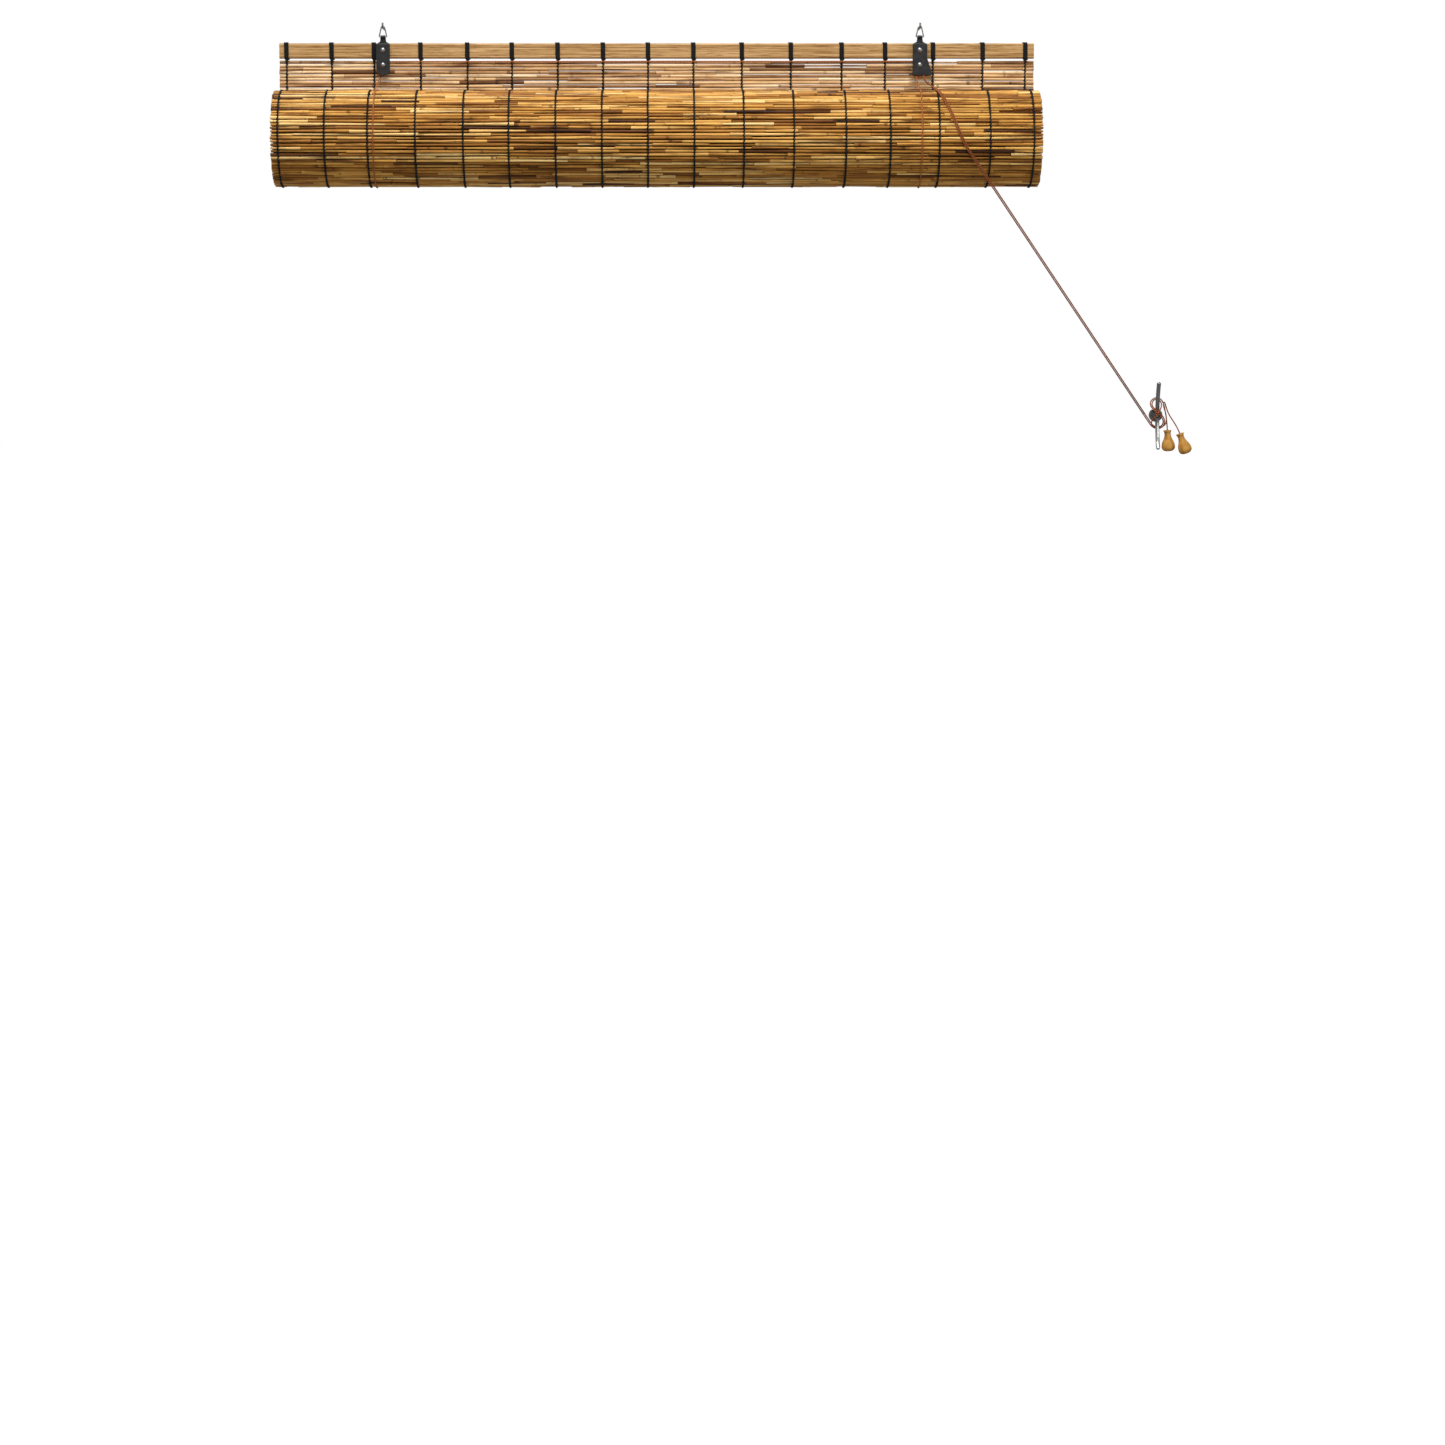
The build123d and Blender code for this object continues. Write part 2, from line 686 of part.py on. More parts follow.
def lift_cord_sling(hanger_x, cord_y):
    """From the forward bend to the roll, then down its front and under it to the back."""
    wrap, touch, bend_centre, bend_end, roll_touch = lift_geometry(cord_y)
    x = hanger_x - cord_wrap_radius
    half_way = (touch + 2 * math.pi) / 2
    middle = (x, roll_y + wrap * math.cos(half_way), roll_z + wrap * math.sin(half_way))
    path = Wire(
        [
            Line((x, *bend_end), (x, *roll_touch)),
            ThreePointArc((x, *roll_touch), middle, (x, roll_y + wrap, roll_z)),
        ]
    )
    return tube(path, cord_radius)


def lift_cord_back(hanger_x):
    """From behind the roll up the back of the mat, into a hole in the back of the rail."""
    x = hanger_x - cord_wrap_radius
    start_y = roll_y + roll_radius + running_clearance + cord_radius
    behind_rail_y = rail_back_y + lift_hole_bend
    path = FilletPolyline(
        (x, start_y, mat_bottom_z),
        (x, behind_rail_y, -rail_screw_below_hooks),
        (x, rail_back_y - lift_hole_depth, -rail_screw_below_hooks),
        radius=lift_hole_bend,
    )
    return tube(path, cord_radius)


def cross_cord():
    """The left lift cord's level stretch, from the top of the left pulley to the top of the right one."""
    z = pulley_z + cord_wrap_radius
    path = Line((hanger_xs[0], left_cord_y, z), (hanger_xs[1], left_cord_y, z))
    return tube(path, cord_radius)


def corner_radii(route):
    """The largest arc that each corner's two runs allow."""
    run_share = 0.45
    points = [Vector(*point) for point in route]
    radii = []
    for before, corner, after in zip(points, points[1:], points[2:]):
        turn = math.radians((corner - before).get_angle(after - corner))
        shorter = min((corner - before).length, (after - corner).length)
        radii.append(run_share * shorter / math.tan(turn / 2))
    return radii


def from_cleat(point):
    """A place given from the middle of the cleat's foot."""
    return (cleat_right_of_middle + point[0], point[1], point[2] - cleat_below_hooks)


def pull_cord(over_roll, on_cleat, cord_y):
    """A quarter turn over the right pulley, then the route over the roll to the cleat and the tassel."""
    hanger_x = hanger_xs[1]
    route = [(hanger_x + x, y, z) for x, y, z in over_roll]
    route += [from_cleat(point) for point in on_cleat]
    quarter = cord_wrap_radius * math.sqrt(2) / 2
    over_pulley = ThreePointArc(
        (hanger_x, cord_y, pulley_z + cord_wrap_radius),
        (hanger_x + quarter, cord_y, pulley_z + quarter),
        route[0],
    )
    free = FilletPolyline(*route, radius=corner_radii(route))
    path = Wire([over_pulley, *free.edges()])
    print("pull cord length", path.length)
    return tube(path, cord_radius)


def cord_cleat():
    """A cast cleat: a bowed bar with two round-ended horns on a boss with a round foot."""
    horn_radius = cleat_horn_diameter / 2
    tip_z = cleat_length / 2 - horn_radius
    tip_y = -(cleat_middle_standoff + cleat_tip_rise)
    bow = ThreePointArc((0, tip_y, tip_z), (0, -cleat_middle_standoff, 0), (0, tip_y, -tip_z))
    bar = tube(bow, horn_radius)
    for end_z in (tip_z, -tip_z):
        bar += Pos(0, tip_y, end_z) * Sphere(horn_radius)
    foot_radius = cleat_base_diameter / 2
    foot = disc_along_y(foot_radius, 0, -cleat_base_height, 0, 0)
    foot = fillet(foot.edges().sort_by(Axis.Y)[0], cleat_base_round)
    body = bar + foot + disc_along_y(cleat_boss_diameter / 2, 0, -cleat_boss_standoff, 0, 0)
    outside_y = -cleat_boss_standoff - cut_overrun
    body -= disc_along_y(cleat_screw_diameter / 2 + fit_clearance, cut_overrun, outside_y, 0, 0)
    seat_y = cleat_screw_recess - cleat_boss_standoff
    body -= disc_along_y(cleat_screw_head_diameter / 2 + fit_clearance, seat_y, outside_y, 0, 0)
    return Pos(cleat_right_of_middle, 0, -cleat_below_hooks) * body


def cleat_screw():
    """The screw through the cleat's boss into the wall."""
    x = cleat_right_of_middle
    z = -cleat_below_hooks
    seat_y = cleat_screw_recess - cleat_boss_standoff
    head = domed_head(cleat_screw_head_diameter, cleat_screw_head_height, x, seat_y, z)
    shank = disc_along_y(cleat_screw_diameter / 2, 0, seat_y, x, z)
    thread = pointed_shank(cleat_thread_diameter, cleat_screw_embedment, cleat_screw_point, x, 0, z)
    return head + shank + thread


def tassel(rim, lean):
    """A turned wooden pear with a flared rim; the cord's end sits in a bore in its top."""
    rim_radius = tassel_rim_diameter / 2
    neck_radius = tassel_neck_diameter / 2
    belly_radius = tassel_belly_diameter / 2
    bore = tassel_bore_diameter / 2
    neck_z = tassel_neck_share * tassel_height
    belly_z = tassel_height - tassel_foot_radius
    flat_radius = belly_radius - tassel_foot_radius
    diagonal = tassel_foot_radius * math.sqrt(2) / 2
    neck = (neck_radius, neck_z)
    belly = (belly_radius, belly_z)
    shoulder = ((neck_radius + belly_radius) / 2, (neck_z + belly_z) / 2)
    outline = [
        Polyline((0, tassel_bore_depth), (bore, tassel_bore_depth), (bore, 0), (rim_radius, 0)),
        Line((rim_radius, 0), (rim_radius, tassel_rim_height)),
        TangentArc(neck, (rim_radius, tassel_rim_height), tangent=(0, -1)),
        TangentArc(neck, shoulder, tangent=(0, 1)),
        TangentArc(belly, shoulder, tangent=(0, -1)),
        ThreePointArc(belly, (flat_radius + diagonal, belly_z + diagonal), (flat_radius, tassel_height)),
        Polyline((flat_radius, tassel_height), (0, tassel_height), (0, tassel_bore_depth)),
    ]
    pear = revolve(Plane.XZ * make_face(outline), Axis.Z)
    return Plane(origin=rim, z_dir=lean) * pear


left_x, right_x = hanger_xs
nodes = {
    "head_rail": head_rail(),
    "reed_mat_drop": reed_mat_drop(),
    "reed_mat_roll": reed_mat_roll(),
    "rail_lashings": rail_lashings(),
    "drop_weave_cords": drop_weave_cords(),
    "roll_weave_cords": roll_weave_cords(),
    "left_back_plate": back_plate(left_x, left_plate_outline(), left_plate_width),
    "left_front_plate": front_plate(left_x, left_plate_outline(), left_plate_width),
    "right_back_plate": right_back_plate(),
    "right_front_plate": front_plate(right_x, right_plate_outline(), right_plate_width),
    "left_pulley": pulley(left_x),
    "right_pulley": pulley(right_x),
    "pulley_axles": pulley_axles(),
    "rail_screws": rail_screws(),
    "lock_roller": lock_roller(),
    "left_ring": ring(left_x),
    "right_ring": ring(right_x),
    "wall_hooks": wall_hooks(),
    "left_lift_cord_front": lift_cord_front(left_x, left_cord_y),
    "left_lift_cord_sling": lift_cord_sling(left_x, left_cord_y),
    "left_lift_cord_back": lift_cord_back(left_x),
    "right_lift_cord_front": lift_cord_front(right_x, right_cord_y),
    "right_lift_cord_sling": lift_cord_sling(right_x, right_cord_y),
    "right_lift_cord_back": lift_cord_back(right_x),
    "cross_cord": cross_cord(),
    "pull_cord_1": pull_cord(pull_cord_1_over_roll, pull_cord_1_on_cleat, left_cord_y),
    "pull_cord_2": pull_cord(pull_cord_2_over_roll, pull_cord_2_on_cleat, right_cord_y),
    "tassel_1": tassel(from_cleat(tassel_1_rim), tassel_1_lean),
    "tassel_2": tassel(from_cleat(tassel_2_rim), tassel_2_lean),
    "cord_cleat": cord_cleat(),
    "cleat_screw": cleat_screw(),
}

os.makedirs("parts", exist_ok=True)
for name, shape in nodes.items():
    export_step(shape, f"parts/{name}.step")
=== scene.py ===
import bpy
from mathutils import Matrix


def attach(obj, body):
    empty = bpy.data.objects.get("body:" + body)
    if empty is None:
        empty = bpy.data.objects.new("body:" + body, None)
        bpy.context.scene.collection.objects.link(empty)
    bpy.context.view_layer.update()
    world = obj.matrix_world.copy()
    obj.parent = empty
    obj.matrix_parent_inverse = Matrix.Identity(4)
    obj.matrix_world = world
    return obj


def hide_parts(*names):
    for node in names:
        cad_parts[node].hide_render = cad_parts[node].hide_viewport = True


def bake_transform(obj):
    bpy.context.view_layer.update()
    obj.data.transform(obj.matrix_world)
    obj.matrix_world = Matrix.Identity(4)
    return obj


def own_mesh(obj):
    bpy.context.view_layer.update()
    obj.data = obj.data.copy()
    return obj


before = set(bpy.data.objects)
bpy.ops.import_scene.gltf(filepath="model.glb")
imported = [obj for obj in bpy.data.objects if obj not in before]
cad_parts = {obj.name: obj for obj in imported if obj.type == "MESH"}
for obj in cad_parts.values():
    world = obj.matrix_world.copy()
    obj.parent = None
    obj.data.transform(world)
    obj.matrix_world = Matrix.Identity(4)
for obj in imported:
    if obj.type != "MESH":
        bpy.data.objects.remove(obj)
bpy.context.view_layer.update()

import math

import bpy
import numpy as np

# Wall hooks and triangle rings: drawn steel wire, dull grey from handling.
# Each hook is screwed into the wall, and a bent ring hangs on it and carries a hanger's rolled eye.


def new_finish(name, roughness, metallic=0.0):
    """A node material with its shader and its Object coordinates, ready for a pattern."""
    finish = bpy.data.materials.new(name)
    finish.use_nodes = True
    tree = finish.node_tree
    shader = tree.nodes["Principled BSDF"]
    shader.inputs["Roughness"].default_value = roughness
    shader.inputs["Metallic"].default_value = metallic
    place = tree.nodes.new("ShaderNodeTexCoord").outputs["Object"]
    return finish, tree, shader, place


def speckle(tree, place, stretch, detail=4.0, grain=0.55):
    """Noise whose feature size along each axis is one over the stretch, in metres."""
    mapping = tree.nodes.new("ShaderNodeMapping")
    mapping.inputs["Scale"].default_value = stretch
    tree.links.new(place, mapping.inputs["Vector"])
    noise = tree.nodes.new("ShaderNodeTexNoise")
    noise.inputs["Scale"].default_value = 1.0
    noise.inputs["Detail"].default_value = detail
    noise.inputs["Roughness"].default_value = grain
    tree.links.new(mapping.outputs["Vector"], noise.inputs["Vector"])
    return noise.outputs["Fac"]


def tint(tree, factor, *stops):
    """A colour ramp: each stop is a place from 0 to 1 and a colour, or one number for a grey."""
    node = tree.nodes.new("ShaderNodeValToRGB")
    ramp = node.color_ramp
    while len(ramp.elements) < len(stops):
        ramp.elements.new(0.5)
    for element, (place, colour) in zip(ramp.elements, stops):
        element.position = place
        element.color = (*colour, 1) if hasattr(colour, "__len__") else (colour, colour, colour, 1)
    tree.links.new(factor, node.inputs["Fac"])
    return node.outputs["Color"]


def blended(tree, mode, factor, first, second):
    """Two colours mixed in the given mode; the factor is a socket or a number."""
    node = tree.nodes.new("ShaderNodeMix")
    node.data_type = "RGBA"
    node.blend_type = mode
    if isinstance(factor, (int, float)):
        node.inputs["Factor"].default_value = factor
    else:
        tree.links.new(factor, node.inputs["Factor"])
    tree.links.new(first, node.inputs["A"])
    tree.links.new(second, node.inputs["B"])
    return node.outputs["Result"]


def relief(tree, shader, height, distance, strength=1.0):
    """A height pattern turned into bumps of the given depth in metres."""
    node = tree.nodes.new("ShaderNodeBump")
    node.inputs["Strength"].default_value = strength
    node.inputs["Distance"].default_value = distance
    tree.links.new(height, node.inputs["Height"])
    tree.links.new(node.outputs["Normal"], shader.inputs["Normal"])


def dress(finish, *names):
    """Puts a finish on CAD pieces that keep their own shape."""
    for name in names:
        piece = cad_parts[name]
        if not piece.material_slots:
            piece.data.materials.append(finish)
        for material_slot in piece.material_slots:
            material_slot.material = finish


wire, tree, shader, place = new_finish("drawn_wire", 0.34, 1.0)
greys = tint(tree, speckle(tree, place, (160, 160, 160)), (0.3, 0.22), (0.7, 0.4))
scuffs = tint(tree, speckle(tree, place, (420, 420, 420)), (0.3, 0.26), (0.7, 0.46))
tree.links.new(greys, shader.inputs["Base Color"])
tree.links.new(scuffs, shader.inputs["Roughness"])
dress(wire, "wall_hooks", "left_ring", "right_ring")

# Head rail: a sanded softwood batten with rounded edges and fine grain along its length.
# The mat is tied to it, and both hangers are screwed to its front.

rail_wood, tree, shader, place = new_finish("rail_wood", 0.55)
grain = speckle(tree, place, (5, 300, 420), 7.0, 0.7)
veins = speckle(tree, place, (34, 420, 640), 4.0, 0.62)
board = tint(
    tree, grain, (0.32, (0.26, 0.125, 0.034)), (0.48, (0.46, 0.265, 0.095)), (0.64, (0.72, 0.47, 0.22))
)
lines = tint(tree, veins, (0.34, (0.42, 0.3, 0.19)), (0.5, (0.96, 0.95, 0.94)), (0.6, (1.0, 1.0, 1.0)))
tree.links.new(blended(tree, "MULTIPLY", 0.85, board, lines), shader.inputs["Base Color"])
shader.inputs["Specular IOR Level"].default_value = 0.25
tree.links.new(tint(tree, grain, (0.3, 0.62), (0.7, 0.46)), shader.inputs["Roughness"])
relief(tree, shader, veins, 0.0002, 0.5)
dress(rail_wood, "head_rail")

# Lashings: waxed black cotton cord wound three times round the rail at each weave cord.
# The turns lie side by side and climb a little, so they look slanted from the front.


def carried(paths, across, deep, sides, reference):
    """Rings of an ellipse carried along paths: its first axis is the reference direction made square to the
    path, and its second is square to both. Paths have the shape (paths, points, 3)."""
    along = np.gradient(paths, axis=1)
    along /= np.linalg.norm(along, axis=2, keepdims=True)
    side = reference - along * np.sum(along * reference, axis=2, keepdims=True)
    side /= np.linalg.norm(side, axis=2, keepdims=True)
    out = np.cross(along, side)
    turn = np.linspace(0, 2 * np.pi, sides, endpoint=False)
    wide = side[:, :, None] * (across * np.cos(turn))[:, None]
    high = out[:, :, None] * (deep * np.sin(turn))[:, None]
    return paths[:, :, None] + (wide + high)


def tube_mesh(name, rings, **marks):
    """A mesh of round bars from rings of points (bars, rings, sides, 3), closed by a flat disc at both ends.
    Its UV map runs along the bar in metres and once round it, and each mark is one number for each ring."""
    bars, count, sides = rings.shape[:3]
    index = np.arange(bars * count * sides).reshape(bars, count, sides)
    near = index[:, :-1]
    far = index[:, 1:]
    walls = np.stack([near, far, np.roll(far, -1, 2), np.roll(near, -1, 2)], -1).reshape(-1, 4)
    caps = np.concatenate([index[:, 0], index[:, -1, ::-1]])
    mesh = bpy.data.meshes.new(name)
    mesh.from_pydata(rings.reshape(-1, 3), [], walls.tolist() + caps.tolist())
    smooth = np.ones(len(mesh.polygons), bool)
    smooth[len(walls):] = False
    mesh.polygons.foreach_set("use_smooth", smooth)

    middle = rings.mean(2)
    steps = np.linalg.norm(np.diff(middle, axis=1), axis=2)
    travel = np.concatenate([np.zeros((bars, 1)), np.cumsum(steps, 1)], 1)
    u = np.broadcast_to(travel[:, :, None], index.shape)
    round_share = np.arange(sides + 1) / sides
    v = np.broadcast_to(round_share[:-1], index.shape)
    v_next = np.broadcast_to(round_share[1:], index.shape)
    wall_u = np.stack([u[:, :-1], u[:, 1:], u[:, 1:], u[:, :-1]], -1).reshape(-1)
    wall_v = np.stack([v[:, :-1], v[:, 1:], v_next[:, 1:], v_next[:, :-1]], -1).reshape(-1)
    cap_u = np.concatenate([u[:, 0], u[:, -1]]).reshape(-1)
    uv = np.stack([np.concatenate([wall_u, cap_u]), np.concatenate([wall_v, np.zeros_like(cap_u)])], 1)
    mesh.uv_layers.new(name="UVMap").data.foreach_set("uv", uv.reshape(-1).astype(np.float32))
    for mark, values in marks.items():
        spread = np.broadcast_to(values[:, :, None], index.shape).reshape(-1)
        mesh.attributes.new(mark, "FLOAT", "POINT").data.foreach_set("value", spread.astype(np.float32))
    mesh.validate()
    return mesh


def new_piece(name, mesh, finish, slot, *nodes):
    """Adds a finished mesh to the scene in place of CAD nodes."""
    piece = bpy.data.objects.new(name, mesh)
    bpy.context.scene.collection.objects.link(piece)
    mesh.materials.append(finish)
    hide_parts(*nodes)
    return piece


def twist(tree, turns_per_metre, starts):
    """A wave over the cord's own UV map, slanted so that its crests wind round the cord like laid yarns."""
    one_wave_scale = 0.31416  # the node then gives one wave for each unit
    map_node = tree.nodes.new("ShaderNodeUVMap")
    map_node.uv_map = "UVMap"
    mapping = tree.nodes.new("ShaderNodeMapping")
    mapping.inputs["Scale"].default_value = (turns_per_metre, starts, 0)
    tree.links.new(map_node.outputs["UV"], mapping.inputs["Vector"])
    wave = tree.nodes.new("ShaderNodeTexWave")
    wave.wave_type = "BANDS"
    wave.bands_direction = "DIAGONAL"
    wave.inputs["Scale"].default_value = one_wave_scale
    wave.inputs["Distortion"].default_value = 0.0
    tree.links.new(mapping.outputs["Vector"], wave.inputs["Vector"])
    return wave.outputs["Fac"]


black_cord, tree, shader, place = new_finish("black_cord", 0.85)
yarn = twist(tree, 900, 2)
fluff = speckle(tree, place, (2600, 2600, 2600), 2.0)
# Painted shade: darker where the yarns dip, in the grooves between them.
yarn_groove_shade = tint(tree, yarn, (0.0, (0.002, 0.002, 0.002)), (1.0, (0.011, 0.01, 0.009)))
dust = tint(tree, fluff, (0.4, (0.5, 0.5, 0.5)), (0.75, (1.0, 1.0, 1.0)))
tree.links.new(blended(tree, "MULTIPLY", 0.7, yarn_groove_shade, dust), shader.inputs["Base Color"])
shader.inputs["Sheen Weight"].default_value = 0.03
shader.inputs["Specular IOR Level"].default_value = 0.3
relief(tree, shader, yarn, 0.0003, 0.8)

mat_left = -0.5918
mat_width = 1.2
weave_shares = np.array([
    0.0095, 0.0694, 0.1255, 0.1872, 0.2492, 0.3082, 0.3689, 0.4290, 0.4886,
    0.5488, 0.6130, 0.6779, 0.7453, 0.8028, 0.8663, 0.9320, 0.9885,
])
weave_x = mat_left + mat_width * weave_shares
rail_middle = np.array([-0.011, -0.03575])
rail_half = np.array([0.005, 0.01205])
lashing_turns = 3
lashing_width = 0.0024
lashing_depth = 0.0019
lashing_corner = 0.0026
sideways = np.array([1.0, 0, 0])


def lashing_path():
    """A rounded rectangle round the rail, walked three times while it moves sideways by one cord a turn."""
    corner_points = 6
    half = rail_half + lashing_depth / 2 - lashing_corner
    quarter = np.linspace(0, np.pi / 2, corner_points)
    angle = np.concatenate([quarter + k * np.pi / 2 for k in range(4)])
    sign = np.repeat(np.array([(1, 1), (-1, 1), (-1, -1), (1, -1)]), corner_points, axis=0)
    turn = rail_middle + sign * half + lashing_corner * np.stack([np.cos(angle), np.sin(angle)], 1)
    yz = np.tile(turn, (lashing_turns, 1))
    x = (np.arange(len(yz)) / len(turn) - lashing_turns / 2) * lashing_width
    return np.column_stack([x, yz])


lashing = lashing_path()[None] + np.column_stack([weave_x, 0 * weave_x, 0 * weave_x])[:, None]
rings = carried(lashing, lashing_width / 2, lashing_depth / 2, 6, sideways)
lashings = tube_mesh("rail_lashing_turns", rings)
lashings = new_piece("rail_lashing_turns", lashings, black_cord, "black_cord", "rail_lashings")
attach(lashings, "root")

knot_half = 0.0034
knot_radius = 0.0019
knot_offset = 0.0012  # right of the weave cord
knot_y = -0.0156
knot_z = -0.0494
knot_slope_share = 0.2


def lashing_knots():
    """A small spindle along X under the rail at each lashing: its radius is the square root of one minus the
    square of the place along it."""
    tip_share = 0.97
    share = np.linspace(-tip_share, tip_share, 7)
    turn = np.linspace(0, 2 * np.pi, 8, endpoint=False)
    size = knot_radius * np.sqrt(1 - share**2)[:, None]
    knots = np.empty((len(weave_x), len(share), len(turn), 3))
    knots[..., 0] = weave_x[:, None, None] + knot_offset + knot_half * share[:, None]
    knots[..., 1] = knot_y + size * np.cos(turn)
    knots[..., 2] = knot_z + knot_slope_share * knot_half * share[:, None] + size * np.sin(turn)
    return knots


knots = tube_mesh("rail_lashing_knots", lashing_knots())
knots = new_piece("rail_lashing_knots", knots, black_cord, "black_cord", "rail_lashings")
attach(knots, "root")

# Hanging reeds: natural marsh reeds side by side, the short stretch of mat between the rail and the roll.
# Each row is several reeds butted end to end; they are never quite straight, so a little light shows
# between them.


def reed_rings(reeds, y, z, count, sides, wander):
    """Round bars along X that taper from one end to the other: each ring is a circle about a centre line that
    wanders on two slow sine waves. The first and last rings stand close to their neighbours, for the cut
    ends."""
    lip_width = 0.0005
    wave_y, wave_z = 11, 8.3  # radians for each metre of reed
    start, end, first, last = reeds
    share = np.linspace(0, 1, count - 2)
    lip = lip_width / (end - start)[:, None]
    share = np.concatenate([0 * lip, lip, share[1:-1] + 0 * lip, 1 - lip, 0 * lip + 1], 1)
    x = start[:, None] + (end - start)[:, None] * share
    phase = chance.uniform(0, 2 * np.pi, (2, len(start), 1))
    y = y[:, None] + wander * np.sin(x * wave_y + phase[0])
    z = z[:, None] + wander * np.sin(x * wave_z + phase[1])
    size = first[:, None] + (last - first)[:, None] * share
    turn = np.linspace(0, 2 * np.pi, sides, endpoint=False)
    ring_y = y[:, :, None] + size[:, :, None] * np.cos(turn)
    ring_z = z[:, :, None] + size[:, :, None] * np.sin(turn)
    return np.stack([np.broadcast_to(x[:, :, None], ring_y.shape), ring_y, ring_z], -1)


def cut_reeds(rows, lengths, thick, thin, slim_share):
    """Rows of reeds butted end to end, cut straight at the sides of the mat. Gives the number of each reed's
    row, and its start, its end and its radius at both: a reed is thick at its root, and a few are slim all
    along."""
    most_in_row = 26
    side_scatter = 0.0005
    slim_size_share = 0.62
    turned_share = 0.5
    shortest = 0.002
    length = chance.uniform(*lengths, (rows, most_in_row))
    edge = mat_left + chance.uniform(-lengths[1], 0.0, (rows, 1)) + np.cumsum(length, 1)
    left = mat_left + chance.uniform(-side_scatter, side_scatter, (rows, 1))
    right = mat_left + mat_width + chance.uniform(-side_scatter, side_scatter, (rows, 1))
    cuts = np.clip(np.concatenate([left, edge], 1), left, right)
    start = cuts[:, :-1]
    end = cuts[:, 1:]
    slim = np.where(chance.random(start.shape) < slim_share, slim_size_share, 1.0)
    root = reed_radius * slim * chance.uniform(*thick, start.shape)
    tip = reed_radius * slim * chance.uniform(*thin, start.shape)
    turned = chance.random(start.shape) < turned_share
    row = np.broadcast_to(np.arange(rows)[:, None], start.shape)
    kept = end - start > shortest
    first = np.where(turned, tip, root)
    last = np.where(turned, root, tip)
    return row[kept], (start[kept], end[kept], first[kept], last[kept])


def reed_finish(name, palette, sheen):
    """Reed skin: a tone for each reed from dark to bright, long streaks, short dark dashes, fine fibres, dark
    scars at the leaf joints and dark cut ends."""
    finish, tree, shader, place = new_finish(name, 0.5)
    shader.inputs["Specular IOR Level"].default_value = 0.18
    tone = tree.nodes.new("ShaderNodeAttribute")
    tone.attribute_name = "tone"
    split = tree.nodes.new("ShaderNodeSeparateXYZ")
    tree.links.new(place, split.inputs["Vector"])
    joined = tree.nodes.new("ShaderNodeCombineXYZ")
    tree.links.new(split.outputs["X"], joined.inputs["X"])
    tree.links.new(tone.outputs["Fac"], joined.inputs["Y"])
    streaks = speckle(tree, joined.outputs["Vector"], (9, 997, 1), 4.0, 0.6)
    blotches = speckle(tree, joined.outputs["Vector"], (60, 610, 1), 2.0, 0.5)
    dashes = speckle(tree, place, (11, 400, 400), 2.0, 0.5)
    fibres = speckle(tree, place, (14, 900, 900), 3.0, 0.6)
    skin = tint(tree, tone.outputs["Fac"], *palette)
    fade = tint(tree, streaks, (0.3, (0.36, 0.25, 0.15)), (0.48, (0.88, 0.84, 0.8)), (0.62, (1.0, 1.0, 1.0)))
    scars = tint(tree, blotches, (0.28, (0.2, 0.13, 0.08)), (0.35, (1.0, 1.0, 1.0)))
    runs = tint(tree, dashes, (0.34, (0.14, 0.065, 0.028)), (0.41, (1.0, 1.0, 1.0)))
    threads = tint(tree, fibres, (0.3, (0.55, 0.46, 0.36)), (0.6, (1.0, 1.0, 1.0)))
    # Darker towards the cut ends and on the end caps.
    ends = tree.nodes.new("ShaderNodeAttribute")
    ends.attribute_name = "cut_end"
    cut_end_darkening = tint(tree, ends.outputs["Fac"], (0.0, (1.0, 1.0, 1.0)), (1.0, (0.25, 0.17, 0.1)))
    colour = blended(tree, "MULTIPLY", 1.0, skin, fade)
    colour = blended(tree, "MULTIPLY", 0.8, colour, scars)
    colour = blended(tree, "MULTIPLY", 0.85, colour, runs)
    colour = blended(tree, "MULTIPLY", 0.7, colour, threads)
    tree.links.new(blended(tree, "MULTIPLY", 1.0, colour, cut_end_darkening), shader.inputs["Base Color"])
    tree.links.new(tint(tree, fibres, (0.3, sheen + 0.2), (0.7, sheen)), shader.inputs["Roughness"])
    relief(tree, shader, fibres, 0.0002, 0.6)
    return finish


def reed_marks(reeds, count):
    """For each ring of each reed: a tone picked by chance, never the darkest for a long reed, and whether the
    ring is at a cut end."""
    long_reed = 0.11
    darkest_long, darkest_short = 0.16, 0.04
    darkest = np.where(reeds[1] - reeds[0] > long_reed, darkest_long, darkest_short)
    tone = np.repeat(chance.uniform(darkest, 1)[:, None], count, 1)
    near = np.zeros_like(tone)
    near[:, [0, -1]] = 1.0
    return {"tone": tone, "cut_end": near}


chance = np.random.default_rng(7)
mat_y = -0.011
mat_top = -0.051
mat_bottom = -0.1742
row_count = 23
row_pitch = (mat_top - mat_bottom) / row_count
reed_radius = 0.00225
fixed_rows = 19
pale_reed = reed_finish(
    "pale_reed",
    [
        (0.0, (0.06, 0.02, 0.004)), (0.13, (0.22, 0.095, 0.03)), (0.24, (0.52, 0.3, 0.14)),
        (0.5, (0.76, 0.475, 0.22)), (0.75, (0.92, 0.64, 0.33)), (1.0, (1.0, 0.81, 0.52)),
    ],
    0.42,
)
ring_count = 14
row, reeds = cut_reeds(fixed_rows, lengths=(0.06, 0.26), thick=(1.2, 1.3), thin=(1.1, 1.24), slim_share=0.04)
row_z = mat_top - (row + 0.5) * row_pitch
rings = reed_rings(reeds, np.full(len(row), mat_y), row_z, ring_count, sides=10, wander=0.0003)
hanging = tube_mesh("hanging_reeds", rings, **reed_marks(reeds, ring_count))
hanging = new_piece("hanging_reeds", hanging, pale_reed, "reed", "reed_mat_drop")
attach(hanging, "root")
